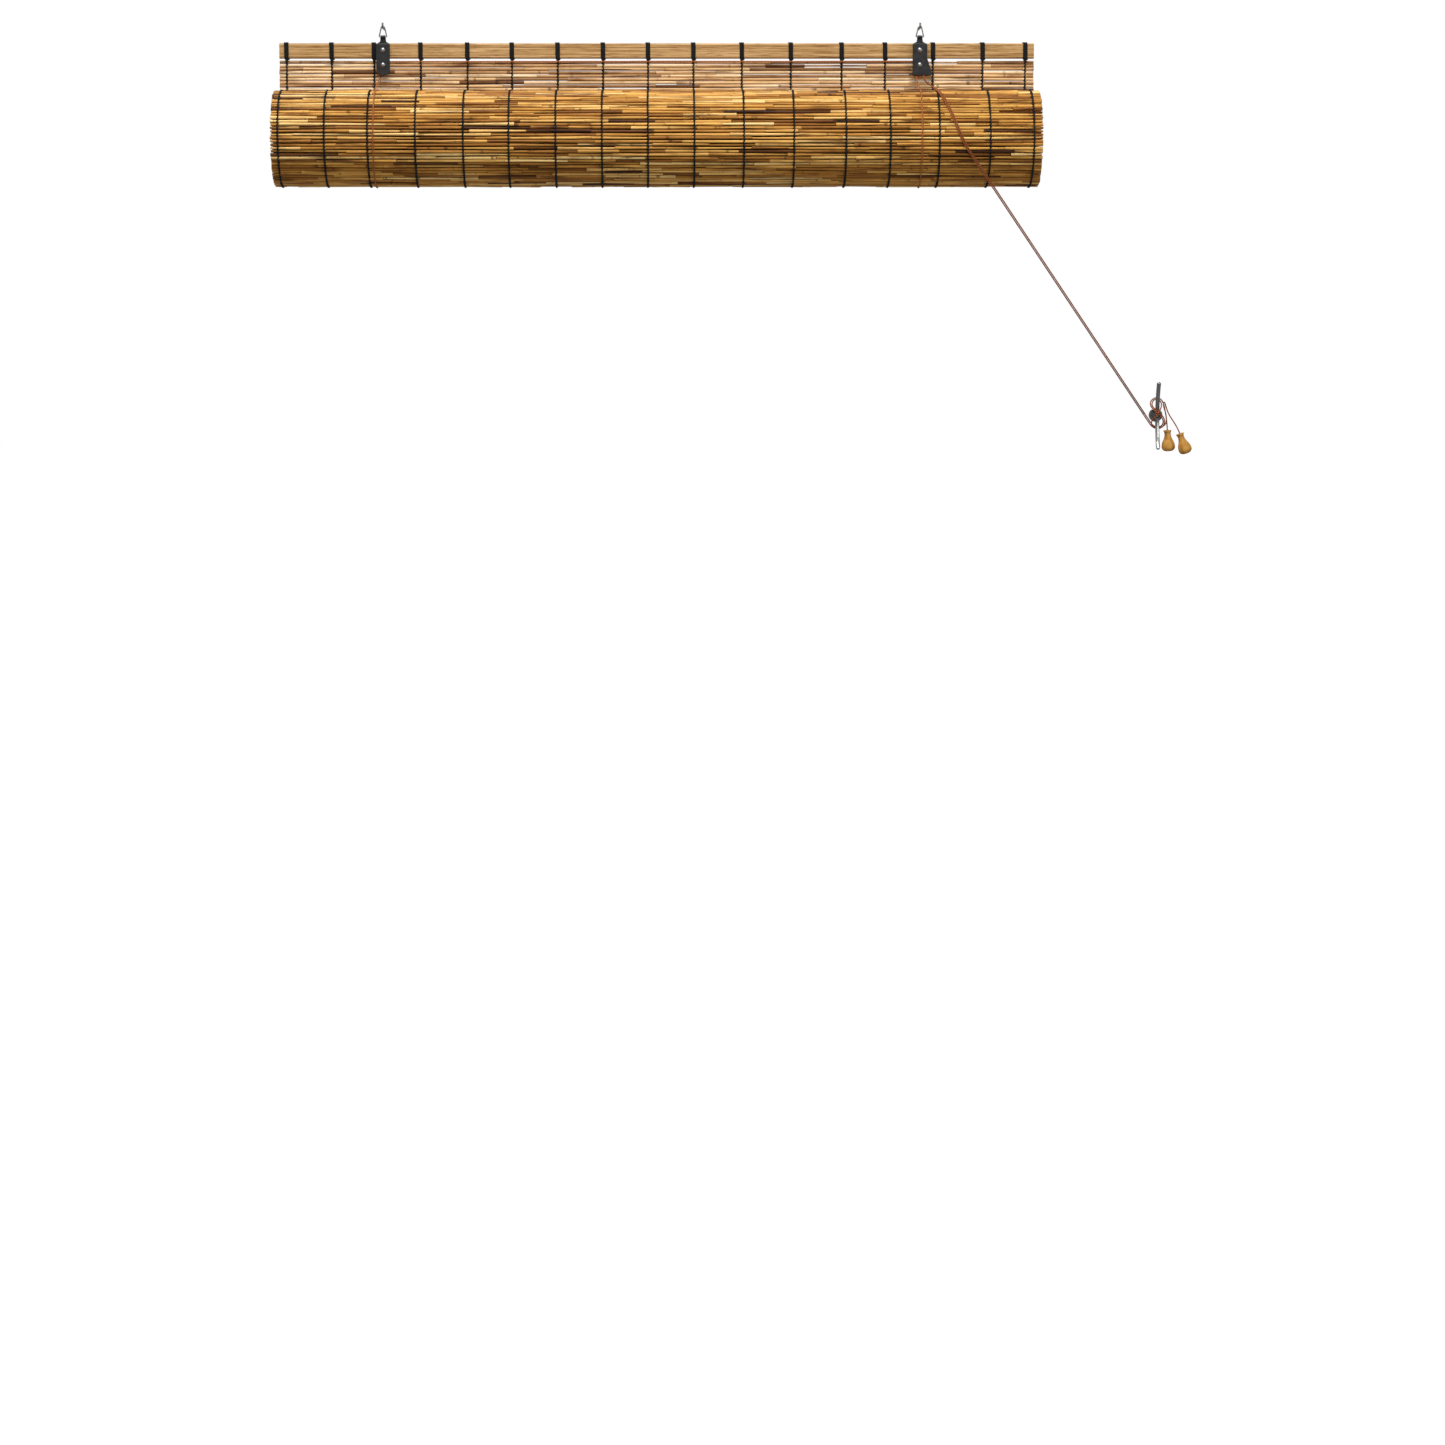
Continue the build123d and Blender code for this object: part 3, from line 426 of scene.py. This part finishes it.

# Unrolling stretch: the last rows behind the roll, which pay out into the rest of the mat as the roll comes
# down. They are one ridged sheet whose reeds are drawn at their true size.


def ridged_sheet(top, bottom, rows):
    """A closed wall across the mat: down its front and up its back, with one half-wave of a sine for each
    reed."""
    steps_per_reed = 6
    valley_half = 0.0008
    step = np.linspace(0, rows, rows * steps_per_reed + 1)
    z = top + (bottom - top) * step / rows
    rise = valley_half + (reed_radius - valley_half) * np.abs(np.sin(np.pi * step))
    outline = np.concatenate([np.stack([mat_y - rise, z], 1), np.stack([mat_y + rise, z], 1)[::-1]])
    x = np.linspace(mat_left, mat_left + mat_width, 9)
    grid = np.empty((1, len(x), len(outline), 3))
    grid[0, :, :, 0] = x[:, None]
    grid[0, :, :, 1:] = outline
    return grid


def drawn_reed_finish(name):
    """Reeds drawn by height: each row of the mat gets its own tone from its number, with streaks along it and
    painted shade above and below it, where it meets the next row."""
    finish, tree, shader, place = new_finish(name, 0.55)
    shader.inputs["Specular IOR Level"].default_value = 0.18
    split = tree.nodes.new("ShaderNodeSeparateXYZ")
    tree.links.new(place, split.inputs["Vector"])
    row = tree.nodes.new("ShaderNodeMath")
    row.operation = "MULTIPLY_ADD"
    tree.links.new(split.outputs["Z"], row.inputs[0])
    row.inputs[1].default_value = 1 / row_pitch
    row.inputs[2].default_value = -mat_top / row_pitch
    number = tree.nodes.new("ShaderNodeMath")
    number.operation = "FLOOR"
    tree.links.new(row.outputs["Value"], number.inputs[0])
    share = tree.nodes.new("ShaderNodeMath")
    share.operation = "FRACT"
    tree.links.new(row.outputs["Value"], share.inputs[0])
    joined = tree.nodes.new("ShaderNodeCombineXYZ")
    tree.links.new(split.outputs["X"], joined.inputs["X"])
    tree.links.new(number.outputs["Value"], joined.inputs["Y"])
    streaks = speckle(tree, joined.outputs["Vector"], (7, 7.31, 1), 5.0, 0.62)
    skin = tint(
        tree, streaks, (0.3, (0.3, 0.15, 0.06)), (0.44, (0.62, 0.39, 0.21)), (0.7, (0.95, 0.71, 0.46))
    )
    # Painted shade in the valleys between rows, dark at each row's top and bottom edge.
    painted_row_shade = tint(
        tree, share.outputs["Value"], (0.0, (0.16, 0.09, 0.045)), (0.12, (0.86, 0.85, 0.84)),
        (0.5, (1.0, 1.0, 1.0)), (0.88, (0.86, 0.85, 0.84)), (1.0, (0.16, 0.09, 0.045)),
    )
    tree.links.new(blended(tree, "MULTIPLY", 1.0, skin, painted_row_shade), shader.inputs["Base Color"])
    crest = tint(tree, share.outputs["Value"], (0.0, 0.0), (0.2, 0.7), (0.5, 1.0), (0.8, 0.7), (1.0, 0.0))
    relief(tree, shader, crest, 0.0015, 0.7)
    return finish


unroll_top = mat_top - fixed_rows * row_pitch
sheet_mesh = tube_mesh("unrolling_reeds", ridged_sheet(unroll_top, mat_bottom, row_count - fixed_rows))
unrolling = new_piece("unrolling_reeds", sheet_mesh, drawn_reed_finish("drawn_reed"), "reed", "reed_mat_drop")
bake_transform(unrolling)

# Rolled reeds: the rest of the mat wound up, seven and a half turns of the same reeds.
# The outer turn shows; the turns inside show only their cut ends.

roll_y = -0.08605
roll_z = -0.1745
roll_radius = 0.0773
half_pitch = 0.0043
half_turns = 15
outer_counts = (45, 42)


def roll_places(half_turn, count, depth):
    """Places of a half turn's reeds: even half turns pass under the roll, odd ones over it, and each has its
    radius less by half a pitch and its centre moved by as much."""
    share = (np.arange(count) + 0.5) / count
    angle = -np.pi * (share + half_turn % 2)
    radius = roll_radius - half_turn * half_pitch - depth
    y = roll_y - half_pitch * (half_turn % 2) + radius * np.cos(angle)
    return y, roll_z + radius * np.sin(angle)


gold_reed = reed_finish(
    "gold_reed",
    [
        (0.0, (0.03, 0.008, 0.001)), (0.11, (0.1, 0.03, 0.004)), (0.19, (0.37, 0.15, 0.02)),
        (0.5, (0.64, 0.31, 0.054)), (0.8, (0.88, 0.51, 0.125)), (1.0, (1.0, 0.74, 0.32)),
    ],
    0.34,
)
ring_count = 8
outer_y, outer_z = np.concatenate([roll_places(h, outer_counts[h], reed_radius) for h in (0, 1)], 1)
row, reeds = cut_reeds(
    len(outer_y), lengths=(0.05, 0.18), thick=(1.02, 1.24), thin=(0.5, 0.95), slim_share=0.12
)
rings = reed_rings(reeds, outer_y[row], outer_z[row], ring_count, sides=9, wander=0.0005)
outer_mesh = tube_mesh("rolled_reeds", rings, **reed_marks(reeds, ring_count))
rolled = new_piece("rolled_reeds", outer_mesh, gold_reed, "reed", "reed_mat_roll")

inner = np.concatenate(
    [
        roll_places(h, round(math.pi * (roll_radius - h * half_pitch) / row_pitch), reed_radius)
        for h in range(2, half_turns)
    ],
    1,
)
stalks = inner.shape[1]
inner_scatter = 0.001
inner_sizes = (0.8, 1.1)
inner_taper_share = 0.9
start = mat_left + chance.uniform(-inner_scatter, inner_scatter, stalks)
root = reed_radius * chance.uniform(*inner_sizes, stalks)
reeds = (start, start + mat_width, root, root * inner_taper_share)
rings = reed_rings(reeds, inner[0], inner[1], ring_count, sides=7, wander=0.0002)
inner_mesh = tube_mesh("inner_turns", rings, **reed_marks(reeds, ring_count))
inner_turns = new_piece("inner_turns", inner_mesh, gold_reed, "reed", "reed_mat_roll")
for piece in (rolled, inner_turns):
    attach(piece, "roll")
    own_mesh(piece)

# Weave cords: seventeen pairs of black cotton strands that hold the reeds together.
# The two strands of a pair pass in front of and behind each reed by turns, and cross between reeds.

strand_radius = 0.0013
strand_reach = 0.0029
strand_lean = 0.001
strand_top = -0.0484
settling_length = 0.004
covered_share = 0.86  # of the half turn that passes over the roll


def hanging_strands():
    """Down the mat: depth follows a cosine with one half-wave for each reed, sideways lean the matching sine;
    below the fixed rows one strand keeps to the front and one to the back."""
    z = np.linspace(strand_top, mat_bottom, 150)
    phase = np.pi * ((mat_top - z) / row_pitch - 0.5)
    settled = np.clip((unroll_top + settling_length - z) / settling_length, 0, 1)
    swing = np.cos(phase) * (1 - settled) + settled
    lean = np.sin(phase) * (1 - settled)
    strands = np.empty((2, len(weave_x), len(z), 3))
    for side, sign in enumerate((-1, 1)):
        strands[side, :, :, 0] = weave_x[:, None] + sign * strand_lean * lean
        strands[side, :, :, 1] = mat_y + sign * strand_reach * swing
        strands[side, :, :, 2] = z
    return strands.reshape(-1, len(z), 3)


def roll_strands():
    """Round the roll: the same waves bent round the outer turn, with the depth measured along the radius."""
    first, second = outer_counts
    travel = np.linspace(0.0, first + second * covered_share, 400)
    over = travel > first
    angle = -np.pi * np.where(over, 1 + (travel - first) / second, travel / first)
    radius = roll_radius - reed_radius - np.where(over, half_pitch, 0)
    centre = roll_y - np.where(over, half_pitch, 0)
    phase = np.pi * (travel - 0.5)
    strands = np.empty((2, len(weave_x), len(travel), 3))
    for side, sign in enumerate((1, -1)):
        reach = radius + sign * strand_reach * np.cos(phase)
        strands[side, :, :, 0] = weave_x[:, None] + sign * strand_lean * np.sin(phase)
        strands[side, :, :, 1] = centre + reach * np.cos(angle)
        strands[side, :, :, 2] = roll_z + reach * np.sin(angle)
    return strands.reshape(-1, len(travel), 3)


rings = carried(hanging_strands(), strand_radius, strand_radius, 6, sideways)
strands = tube_mesh("hanging_weave_cords", rings)
hanging_weave = new_piece("hanging_weave_cords", strands, black_cord, "black_cord", "drop_weave_cords")
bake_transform(hanging_weave)

rings = carried(roll_strands(), strand_radius, strand_radius, 5, sideways)
strands = tube_mesh("rolled_weave_cords", rings)
rolled_weave = new_piece("rolled_weave_cords", strands, black_cord, "black_cord", "roll_weave_cords")
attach(rolled_weave, "roll")
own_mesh(rolled_weave)

# Hangers: two stamped sheet-steel plates each, coated in matt black enamel with a fine stipple.
# The back plate's neck is rolled into the eye; the right hanger's sloped side and bottom make the cord lock.

enamel, tree, shader, place = new_finish("black_enamel", 0.42)
stipple = speckle(tree, place, (1500, 1500, 1500), 3.0)
wear = speckle(tree, place, (120, 120, 120), 5.0, 0.65)
blacks = tint(tree, wear, (0.35, (0.007, 0.007, 0.0075)), (0.7, (0.02, 0.02, 0.021)))
tree.links.new(blacks, shader.inputs["Base Color"])
tree.links.new(tint(tree, wear, (0.3, 0.36), (0.7, 0.52)), shader.inputs["Roughness"])
relief(tree, shader, stipple, 0.00012, 0.6)
dress(enamel, "left_back_plate", "left_front_plate", "right_back_plate", "right_front_plate")

# Rivets and screws: bright zinc-plated steel with low domed heads.
# The upper ones fix the plates to the rail, and the lower rivets carry the pulleys.

zinc, tree, shader, place = new_finish("bright_zinc", 0.3, 1.0)
haze = speckle(tree, place, (700, 700, 700), 4.0)
plating = tint(tree, haze, (0.3, (0.22, 0.22, 0.22)), (0.7, (0.34, 0.34, 0.335)))
tree.links.new(plating, shader.inputs["Base Color"])
tree.links.new(tint(tree, haze, (0.3, 0.34), (0.7, 0.48)), shader.inputs["Roughness"])
dress(zinc, "pulley_axles", "rail_screws", "cleat_screw")

# Pulleys and lock roller: moulded white nylon wheels between the plates, and a loose turned brass roller.
# The roller rolls up the lock's slope and jams the pull cords.

nylon, tree, shader, place = new_finish("moulded_nylon", 0.4)
cloud = speckle(tree, place, (300, 300, 300), 3.0)
milky = tint(tree, cloud, (0.3, (0.7, 0.68, 0.62)), (0.7, (0.82, 0.8, 0.75)))
tree.links.new(milky, shader.inputs["Base Color"])
shader.inputs["Subsurface Weight"].default_value = 0.1
dress(nylon, "left_pulley", "right_pulley")

brass, tree, shader, place = new_finish("turned_brass", 0.28, 1.0)
tool_marks = speckle(tree, place, (60, 2400, 60), 2.0)
yellows = tint(tree, tool_marks, (0.3, (0.5, 0.33, 0.1)), (0.7, (0.72, 0.52, 0.2)))
tree.links.new(yellows, shader.inputs["Base Color"])
relief(tree, shader, tool_marks, 0.00005, 0.4)
dress(brass, "lock_roller")

# Lift cords and crossing cord: thin reddish-brown braided cord, 2 mm thick.
# Each lift cord is fixed behind the rail, goes under the roll and up its front, and over its hanger's pulley.


def braid(name, deep, bright):
    """Braided cord: two sets of yarns that wind round it in opposite directions, with painted shade where
    they dip.
    """
    finish, tree, shader, place = new_finish(name, 0.7)
    yarns_per_metre = 420
    first_lay = twist(tree, yarns_per_metre, 2)
    second_lay = twist(tree, yarns_per_metre, -2)
    # Darker where the yarns dip: painted shade in the grooves; deep is the colour given there.
    first_lay_shaded = tint(tree, first_lay, (0.0, deep), (1.0, bright))
    second_lay_shade = tint(tree, second_lay, (0.0, (0.6, 0.55, 0.5)), (1.0, (1.0, 1.0, 1.0)))
    tree.links.new(blended(tree, "MULTIPLY", 0.8, first_lay_shaded, second_lay_shade), shader.inputs["Base Color"])
    shader.inputs["Sheen Weight"].default_value = 0.03
    shader.inputs["Specular IOR Level"].default_value = 0.25
    relief(tree, shader, blended(tree, "MULTIPLY", 1.0, first_lay_shaded, second_lay_shade), 0.0003, 0.7)
    return finish


# Painted lighter than the pull cords' braid: a lit copy of the same cord, for the lift and crossing cords.
lift_braid_lit = braid("lift_braid_lit", (0.25, 0.062, 0.013), (0.54, 0.165, 0.036))
cord_radius = 0.001
cord_sides = 10
hanger_x = 0.4265
pulley_z = -0.0584
cord_wrap = 0.0057
roll_wrap = 0.0786
rear_cord_y = -0.01955
front_cord_y = -0.02185
sling_top_z = -0.072
inward = np.array([0, 1.0, 0])


def arc(centre, radius, first, last, count):
    """Points on a circle from one angle to another, in the circle's own two directions."""
    angle = np.linspace(first, last, count)
    return np.stack([centre[0] + radius * np.cos(angle), centre[1] + radius * np.sin(angle)], 1)


def lift_up(x, y):
    """From the top of the pulley a quarter turn down its left side, then straight down to the sling."""
    turn = arc((x, pulley_z), cord_wrap, np.pi / 2, np.pi, 9)
    run = np.stack([np.full(12, x - cord_wrap), np.linspace(pulley_z, sling_top_z, 13)[1:]], 1)
    xz = np.concatenate([turn, run])
    return np.column_stack([xz[:, 0], np.full(len(xz), y), xz[:, 1]])


def lift_sling(x, y):
    """A small bend forward under the hanger, a straight stretch that touches the roll, and an arc round the
    roll's front and underside to its back."""
    bend = 0.008
    centre = (y - bend, sling_top_z)
    away = (roll_y - centre[0], roll_z - centre[1])
    touch = math.atan2(away[1], away[0]) - math.acos(-(roll_wrap + bend) / math.hypot(*away)) + 2 * math.pi
    first = arc(centre, bend, 0, touch - math.pi, 7)
    last = arc((roll_y, roll_z), roll_wrap, touch, 2 * math.pi, 60)
    yz = np.concatenate([first, last])
    return np.column_stack([np.full(len(yz), x - cord_wrap), yz])


def lift_back(x):
    """Up the back of the mat and through a small bend into the rail."""
    yz = np.array([(-0.00745, -0.1742), (-0.0064, -0.12), (-0.0053, -0.066), (-0.00475, -0.0385)])
    bend = np.array([(-0.0049, -0.0363), (-0.0058, -0.0352), (-0.0072, -0.035), (-0.0105, -0.035)])
    yz = np.concatenate([yz, bend])
    return np.column_stack([np.full(len(yz), x - cord_wrap), yz])


for side, x, y in (("left", -hanger_x, rear_cord_y), ("right", hanger_x, front_cord_y)):
    rings = carried(lift_up(x, y)[None], cord_radius, cord_radius, cord_sides, inward)
    name = f"{side}_lift_cord_up"
    up = new_piece(name, tube_mesh(name, rings), lift_braid_lit, "brown_cord", f"{side}_lift_cord_front")
    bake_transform(up)

    rings = carried(lift_sling(x, y)[None], cord_radius, cord_radius, cord_sides, sideways)
    name = f"{side}_lift_cord_under"
    under = new_piece(name, tube_mesh(name, rings), lift_braid_lit, "brown_cord", f"{side}_lift_cord_sling")
    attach(under, "sling")
    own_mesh(under)

    rings = carried(lift_back(x)[None], cord_radius, cord_radius, cord_sides, sideways)
    name = f"{side}_lift_cord_behind"
    behind = new_piece(name, tube_mesh(name, rings), lift_braid_lit, "brown_cord", f"{side}_lift_cord_back")
    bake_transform(behind)

level = np.linspace(-hanger_x, hanger_x, 40)
flat = np.ones_like(level)
crossing = np.column_stack([level, rear_cord_y * flat, (pulley_z + cord_wrap) * flat])
rings = carried(crossing[None], cord_radius, cord_radius, cord_sides, inward)
crossing = tube_mesh("crossing_cord", rings)
crossing = new_piece("crossing_cord", crossing, lift_braid_lit, "brown_cord", "cross_cord")
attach(crossing, "root")

# Pull cords: the two lift cords go on over the right pulley, through the lock and over the front of the roll.
# They run taut to the cleat, are wound round it in a figure of eight, and end in tassels. They are the same
# cord as the lift cords, painted darker as a shaded copy, while the lift cords' braid is a lit copy.

pull_braid_shaded = braid("pull_braid_shaded", (0.19, 0.045, 0.01), (0.42, 0.122, 0.028))


def cord_line(name, points):
    """The points of a smooth NURBS line that the route's corners steer."""
    line = bpy.data.curves.new(name, "CURVE")
    line.dimensions = "3D"
    line.resolution_u = 8
    spline = line.splines.new("NURBS")
    spline.points.add(len(points) - 1)
    spline.points.foreach_set("co", np.column_stack([points, np.ones(len(points))]).reshape(-1))
    spline.use_endpoint_u = True
    spline.order_u = 3
    holder = bpy.data.objects.new(name, line)
    bpy.context.scene.collection.objects.link(holder)
    bpy.context.view_layer.update()
    mesh = bpy.data.meshes.new_from_object(holder)
    path = np.empty(len(mesh.vertices) * 3)
    mesh.vertices.foreach_get("co", path)
    bpy.data.objects.remove(holder)
    bpy.data.meshes.remove(mesh)
    return path.reshape(-1, 3)


def cord_rings(path, radius, sides):
    """A circle carried along a line; its first axis is turned from point to point by the least amount."""
    along = np.gradient(path, axis=0)
    along /= np.linalg.norm(along, axis=1, keepdims=True)
    slanted = (0.3, 0.9, 0.3)
    side = np.cross(along[0], slanted)
    sides_along = []
    for direction in along:
        side = side - direction * (side @ direction)
        side = side / np.linalg.norm(side)
        sides_along.append(side)
    side = np.array(sides_along)
    out = np.cross(along, side)
    turn = np.linspace(0, 2 * np.pi, sides, endpoint=False)
    ring = side[:, None] * np.cos(turn)[:, None] + out[:, None] * np.sin(turn)[:, None]
    return (path[:, None] + radius * ring)[None]


pull_cord_1_over_roll = [
    (0.4265, -0.01955, -0.0527), (0.4322, -0.01955, -0.0527), (0.4322, -0.01955, -0.0584),
    (0.4322, -0.01955, -0.0844), (0.448, -0.114, -0.0998), (0.457, -0.1375, -0.1135),
    (0.4665, -0.155, -0.1344), (0.4765, -0.1645, -0.16), (0.488, -0.1648, -0.1872),
    (0.5043, -0.157, -0.21), (0.7928, -0.0187, -0.6137),
]
pull_cord_1_on_cleat = [
    (0.7928, -0.0187, -0.6137), (0.7995, -0.0155, -0.6231), (0.806, -0.0145, -0.6321),
    (0.8145, -0.0145, -0.6351), (0.8215, -0.0165, -0.6311), (0.8218, -0.0215, -0.6226),
    (0.8165, -0.026, -0.6161), (0.8075, -0.0265, -0.6081), (0.8008, -0.0215, -0.6006),
    (0.801, -0.0168, -0.5926), (0.809, -0.0145, -0.5864), (0.8185, -0.015, -0.5888),
    (0.8228, -0.016, -0.5971), (0.8248, -0.0165, -0.6066), (0.827, -0.016, -0.6176),
    (0.8286, -0.016, -0.6306), (0.8296, -0.016, -0.645),
]
pull_cord_2_over_roll = [
    (0.4265, -0.02185, -0.0527), (0.4322, -0.02185, -0.0527), (0.4322, -0.02185, -0.0584),
    (0.4322, -0.02185, -0.082), (0.4448, -0.1143, -0.0999), (0.454, -0.1377, -0.1137),
    (0.4636, -0.1551, -0.1346), (0.4737, -0.1645, -0.1601), (0.4852, -0.1648, -0.1873),
    (0.5015, -0.157, -0.2102), (0.7909, -0.0187, -0.6151),
]
pull_cord_2_on_cleat = [
    (0.7909, -0.0187, -0.6151), (0.7976, -0.0155, -0.6245), (0.8045, -0.0145, -0.6342),
    (0.8145, -0.0145, -0.6378), (0.8235, -0.0165, -0.6328), (0.8242, -0.0215, -0.6221),
    (0.8183, -0.026, -0.614), (0.8092, -0.0265, -0.606), (0.8034, -0.0218, -0.6006),
    (0.8036, -0.0174, -0.5948), (0.8074, -0.015, -0.59), (0.8134, -0.0148, -0.5892),
    (0.8178, -0.0168, -0.593), (0.8188, -0.0218, -0.5992), (0.815, -0.0288, -0.6071),
    (0.8085, -0.0288, -0.6156), (0.803, -0.024, -0.6226), (0.8025, -0.0188, -0.6301),
    (0.809, -0.017, -0.6361), (0.818, -0.0172, -0.6356), (0.8265, -0.0185, -0.6296),
    (0.8269, -0.0202, -0.6196), (0.8252, -0.0215, -0.6112), (0.823, -0.0222, -0.6048),
    (0.8217, -0.0225, -0.6005), (0.8213, -0.0221, -0.5968), (0.8221, -0.0197, -0.5942),
    (0.8237, -0.0163, -0.5941), (0.8253, -0.0138, -0.5966), (0.8264, -0.0134, -0.6003),
    (0.8277, -0.0139, -0.6044), (0.8301, -0.015, -0.611), (0.8338, -0.016, -0.618),
    (0.8398, -0.0168, -0.6268), (0.8449, -0.0174, -0.6355), (0.8488, -0.0175, -0.6435),
    (0.8506, -0.0175, -0.6493),
]
for number, over, wound, over_length, wound_length in (
    (1, pull_cord_1_over_roll, pull_cord_1_on_cleat, 0.785, 0.166),
    (2, pull_cord_2_over_roll, pull_cord_2_on_cleat, 0.783, 0.28),
):
    node = f"pull_cord_{number}"
    path = cord_line("over_roll_line", over)
    name = f"pull_cord_{number}_over_roll"
    mesh = tube_mesh(name, cord_rings(path, cord_radius, cord_sides))
    piece = new_piece(name, mesh, pull_braid_shaded, "brown_cord", node)
    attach(piece, "root")
    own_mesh(piece)

    path = cord_line("on_cleat_line", wound)
    name = f"pull_cord_{number}_on_cleat"
    mesh = tube_mesh(name, cord_rings(path, cord_radius, cord_sides))
    piece = new_piece(name, mesh, pull_braid_shaded, "brown_cord", node)
    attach(piece, "root")

# Wall cleat: a polished casting with two bowed horns on a round foot, screwed to the wall.
# The pull cords are wound round it to hold the roll up. Its upper horn is painted darker, as painted
# shade, and its lower horn lighter, as a painted reflection of the light above.

# Painted shade and reflection: full colour below the first height, darkened above the second.
painted_bright_below_z = -0.642
painted_dark_above_z = -0.622
polish, tree, shader, place = new_finish("polished_casting", 0.14, 1.0)
smear = speckle(tree, place, (90, 90, 60), 5.0, 0.6)
split = tree.nodes.new("ShaderNodeSeparateXYZ")
tree.links.new(place, split.inputs["Vector"])
height = tree.nodes.new("ShaderNodeMapRange")
height.inputs["From Min"].default_value = painted_bright_below_z
height.inputs["From Max"].default_value = painted_dark_above_z
tree.links.new(split.outputs["Z"], height.inputs["Value"])
metal = tint(tree, smear, (0.3, (0.52, 0.52, 0.525)), (0.7, (0.72, 0.72, 0.725)))
# Painted light: the upper horn darker as shade, the lower horn bright as a reflection.
painted_reflection_by_height = tint(tree, height.outputs["Result"], (0.0, (1.0, 1.0, 1.0)), (1.0, (0.38, 0.38, 0.385)))
tree.links.new(blended(tree, "MULTIPLY", 1.0, metal, painted_reflection_by_height), shader.inputs["Base Color"])
tree.links.new(tint(tree, smear, (0.3, 0.1), (0.7, 0.22)), shader.inputs["Roughness"])
dress(polish, "cord_cleat")

# Tassels: turned pear-shaped knobs of pale wood under clear varnish.
# The end of each pull cord is knotted inside the bore in the knob's top.

varnished, tree, shader, place = new_finish("varnished_wood", 0.5)
growth = speckle(tree, place, (240, 240, 26), 5.0, 0.6)
flecks = speckle(tree, place, (900, 900, 120), 3.0, 0.5)
body = tint(tree, growth, (0.3, (0.27, 0.11, 0.014)), (0.5, (0.48, 0.225, 0.034)), (0.7, (0.62, 0.33, 0.075)))
spots = tint(tree, flecks, (0.3, (0.6, 0.5, 0.4)), (0.45, (1.0, 1.0, 1.0)))
tree.links.new(blended(tree, "MULTIPLY", 0.7, body, spots), shader.inputs["Base Color"])
shader.inputs["Specular IOR Level"].default_value = 0.25
shader.inputs["Coat Weight"].default_value = 0.08
shader.inputs["Coat Roughness"].default_value = 0.3
dress(varnished, "tassel_1", "tassel_2")

# Studio: a wide pale floor, an even white surround, a large soft light above and in front, a weak one at the
# side, and one behind the blind.

floor_half = 30
floor_z = -2.5
floor_mesh = bpy.data.meshes.new("studio_floor")
corners = [(x * floor_half, y * floor_half, floor_z) for x, y in ((-1, -1), (1, -1), (1, 1), (-1, 1))]
floor_mesh.from_pydata(corners, [], [(0, 1, 2, 3)])
floor = bpy.data.objects.new("studio_floor", floor_mesh)
bpy.context.scene.collection.objects.link(floor)
paper, tree, shader, place = new_finish("studio_paper", 0.9)
paleness = tint(tree, speckle(tree, place, (6, 6, 6)), (0.3, 0.9), (0.7, 0.93))
tree.links.new(paleness, shader.inputs["Base Color"])
shader.inputs["Emission Color"].default_value = (1.0, 1.0, 1.0, 1)
shader.inputs["Emission Strength"].default_value = 0.8
floor_mesh.materials.append(paper)
floor.visible_diffuse = False
floor.visible_glossy = False

world = bpy.data.worlds.new("studio")
bpy.context.scene.world = world
world.use_nodes = True
surround = world.node_tree.nodes["Background"]
surround.inputs["Color"].default_value = (0.98, 0.99, 1.0, 1)
surround.inputs["Strength"].default_value = 0.4
paper_white = world.node_tree.nodes.new("ShaderNodeBackground")
paper_white.inputs["Color"].default_value = (1.0, 1.0, 1.0, 1)
seen = world.node_tree.nodes.new("ShaderNodeLightPath")
chosen = world.node_tree.nodes.new("ShaderNodeMixShader")
world.node_tree.links.new(seen.outputs["Is Camera Ray"], chosen.inputs["Fac"])
world.node_tree.links.new(surround.outputs["Background"], chosen.inputs[1])
world.node_tree.links.new(paper_white.outputs["Background"], chosen.inputs[2])
world.node_tree.links.new(chosen.outputs["Shader"], world.node_tree.nodes["World Output"].inputs["Surface"])
bpy.context.scene.view_settings.view_transform = "Standard"


def soft_light(name, at, towards, size, power):
    """A square area light at one point, aimed at another."""
    lamp = bpy.data.lights.new(name, "AREA")
    lamp.size = size
    lamp.energy = power
    holder = bpy.data.objects.new(name, lamp)
    bpy.context.scene.collection.objects.link(holder)
    holder.location = at
    direction = np.array(towards) - np.array(at)
    level = math.hypot(direction[0], direction[1])
    tilt = math.atan2(level, -direction[2])
    heading = math.atan2(direction[1], direction[0]) - math.pi / 2
    holder.rotation_euler = (tilt, 0, heading)


soft_light("key_light", (-0.3, -1.7, 3.0), (0.1, 0, -0.2), 2.2, 170)
soft_light("side_light", (2.6, -2.6, 0.6), (0.2, 0, -0.3), 1.5, 25)
soft_light("back_light", (0.4, 3.4, 1.8), (0.1, 0, -0.3), 2.0, 60)

# Camera: a long lens a little below the roll, tilted down and shifted to the photograph's framing, which
# leaves the blind high in the frame.

camera_tilt = 0.0985
lens = bpy.data.cameras.new("camera")
lens.sensor_width = 36
lens.lens = 85.85
lens.shift_x = 0.046
lens.shift_y = -0.1
camera = bpy.data.objects.new("camera", lens)
bpy.context.scene.collection.objects.link(camera)
camera.location = (0.0073, -5.5514, -0.331)
camera.rotation_euler = (math.pi / 2 - camera_tilt, 0, 0)
bpy.context.scene.camera = camera
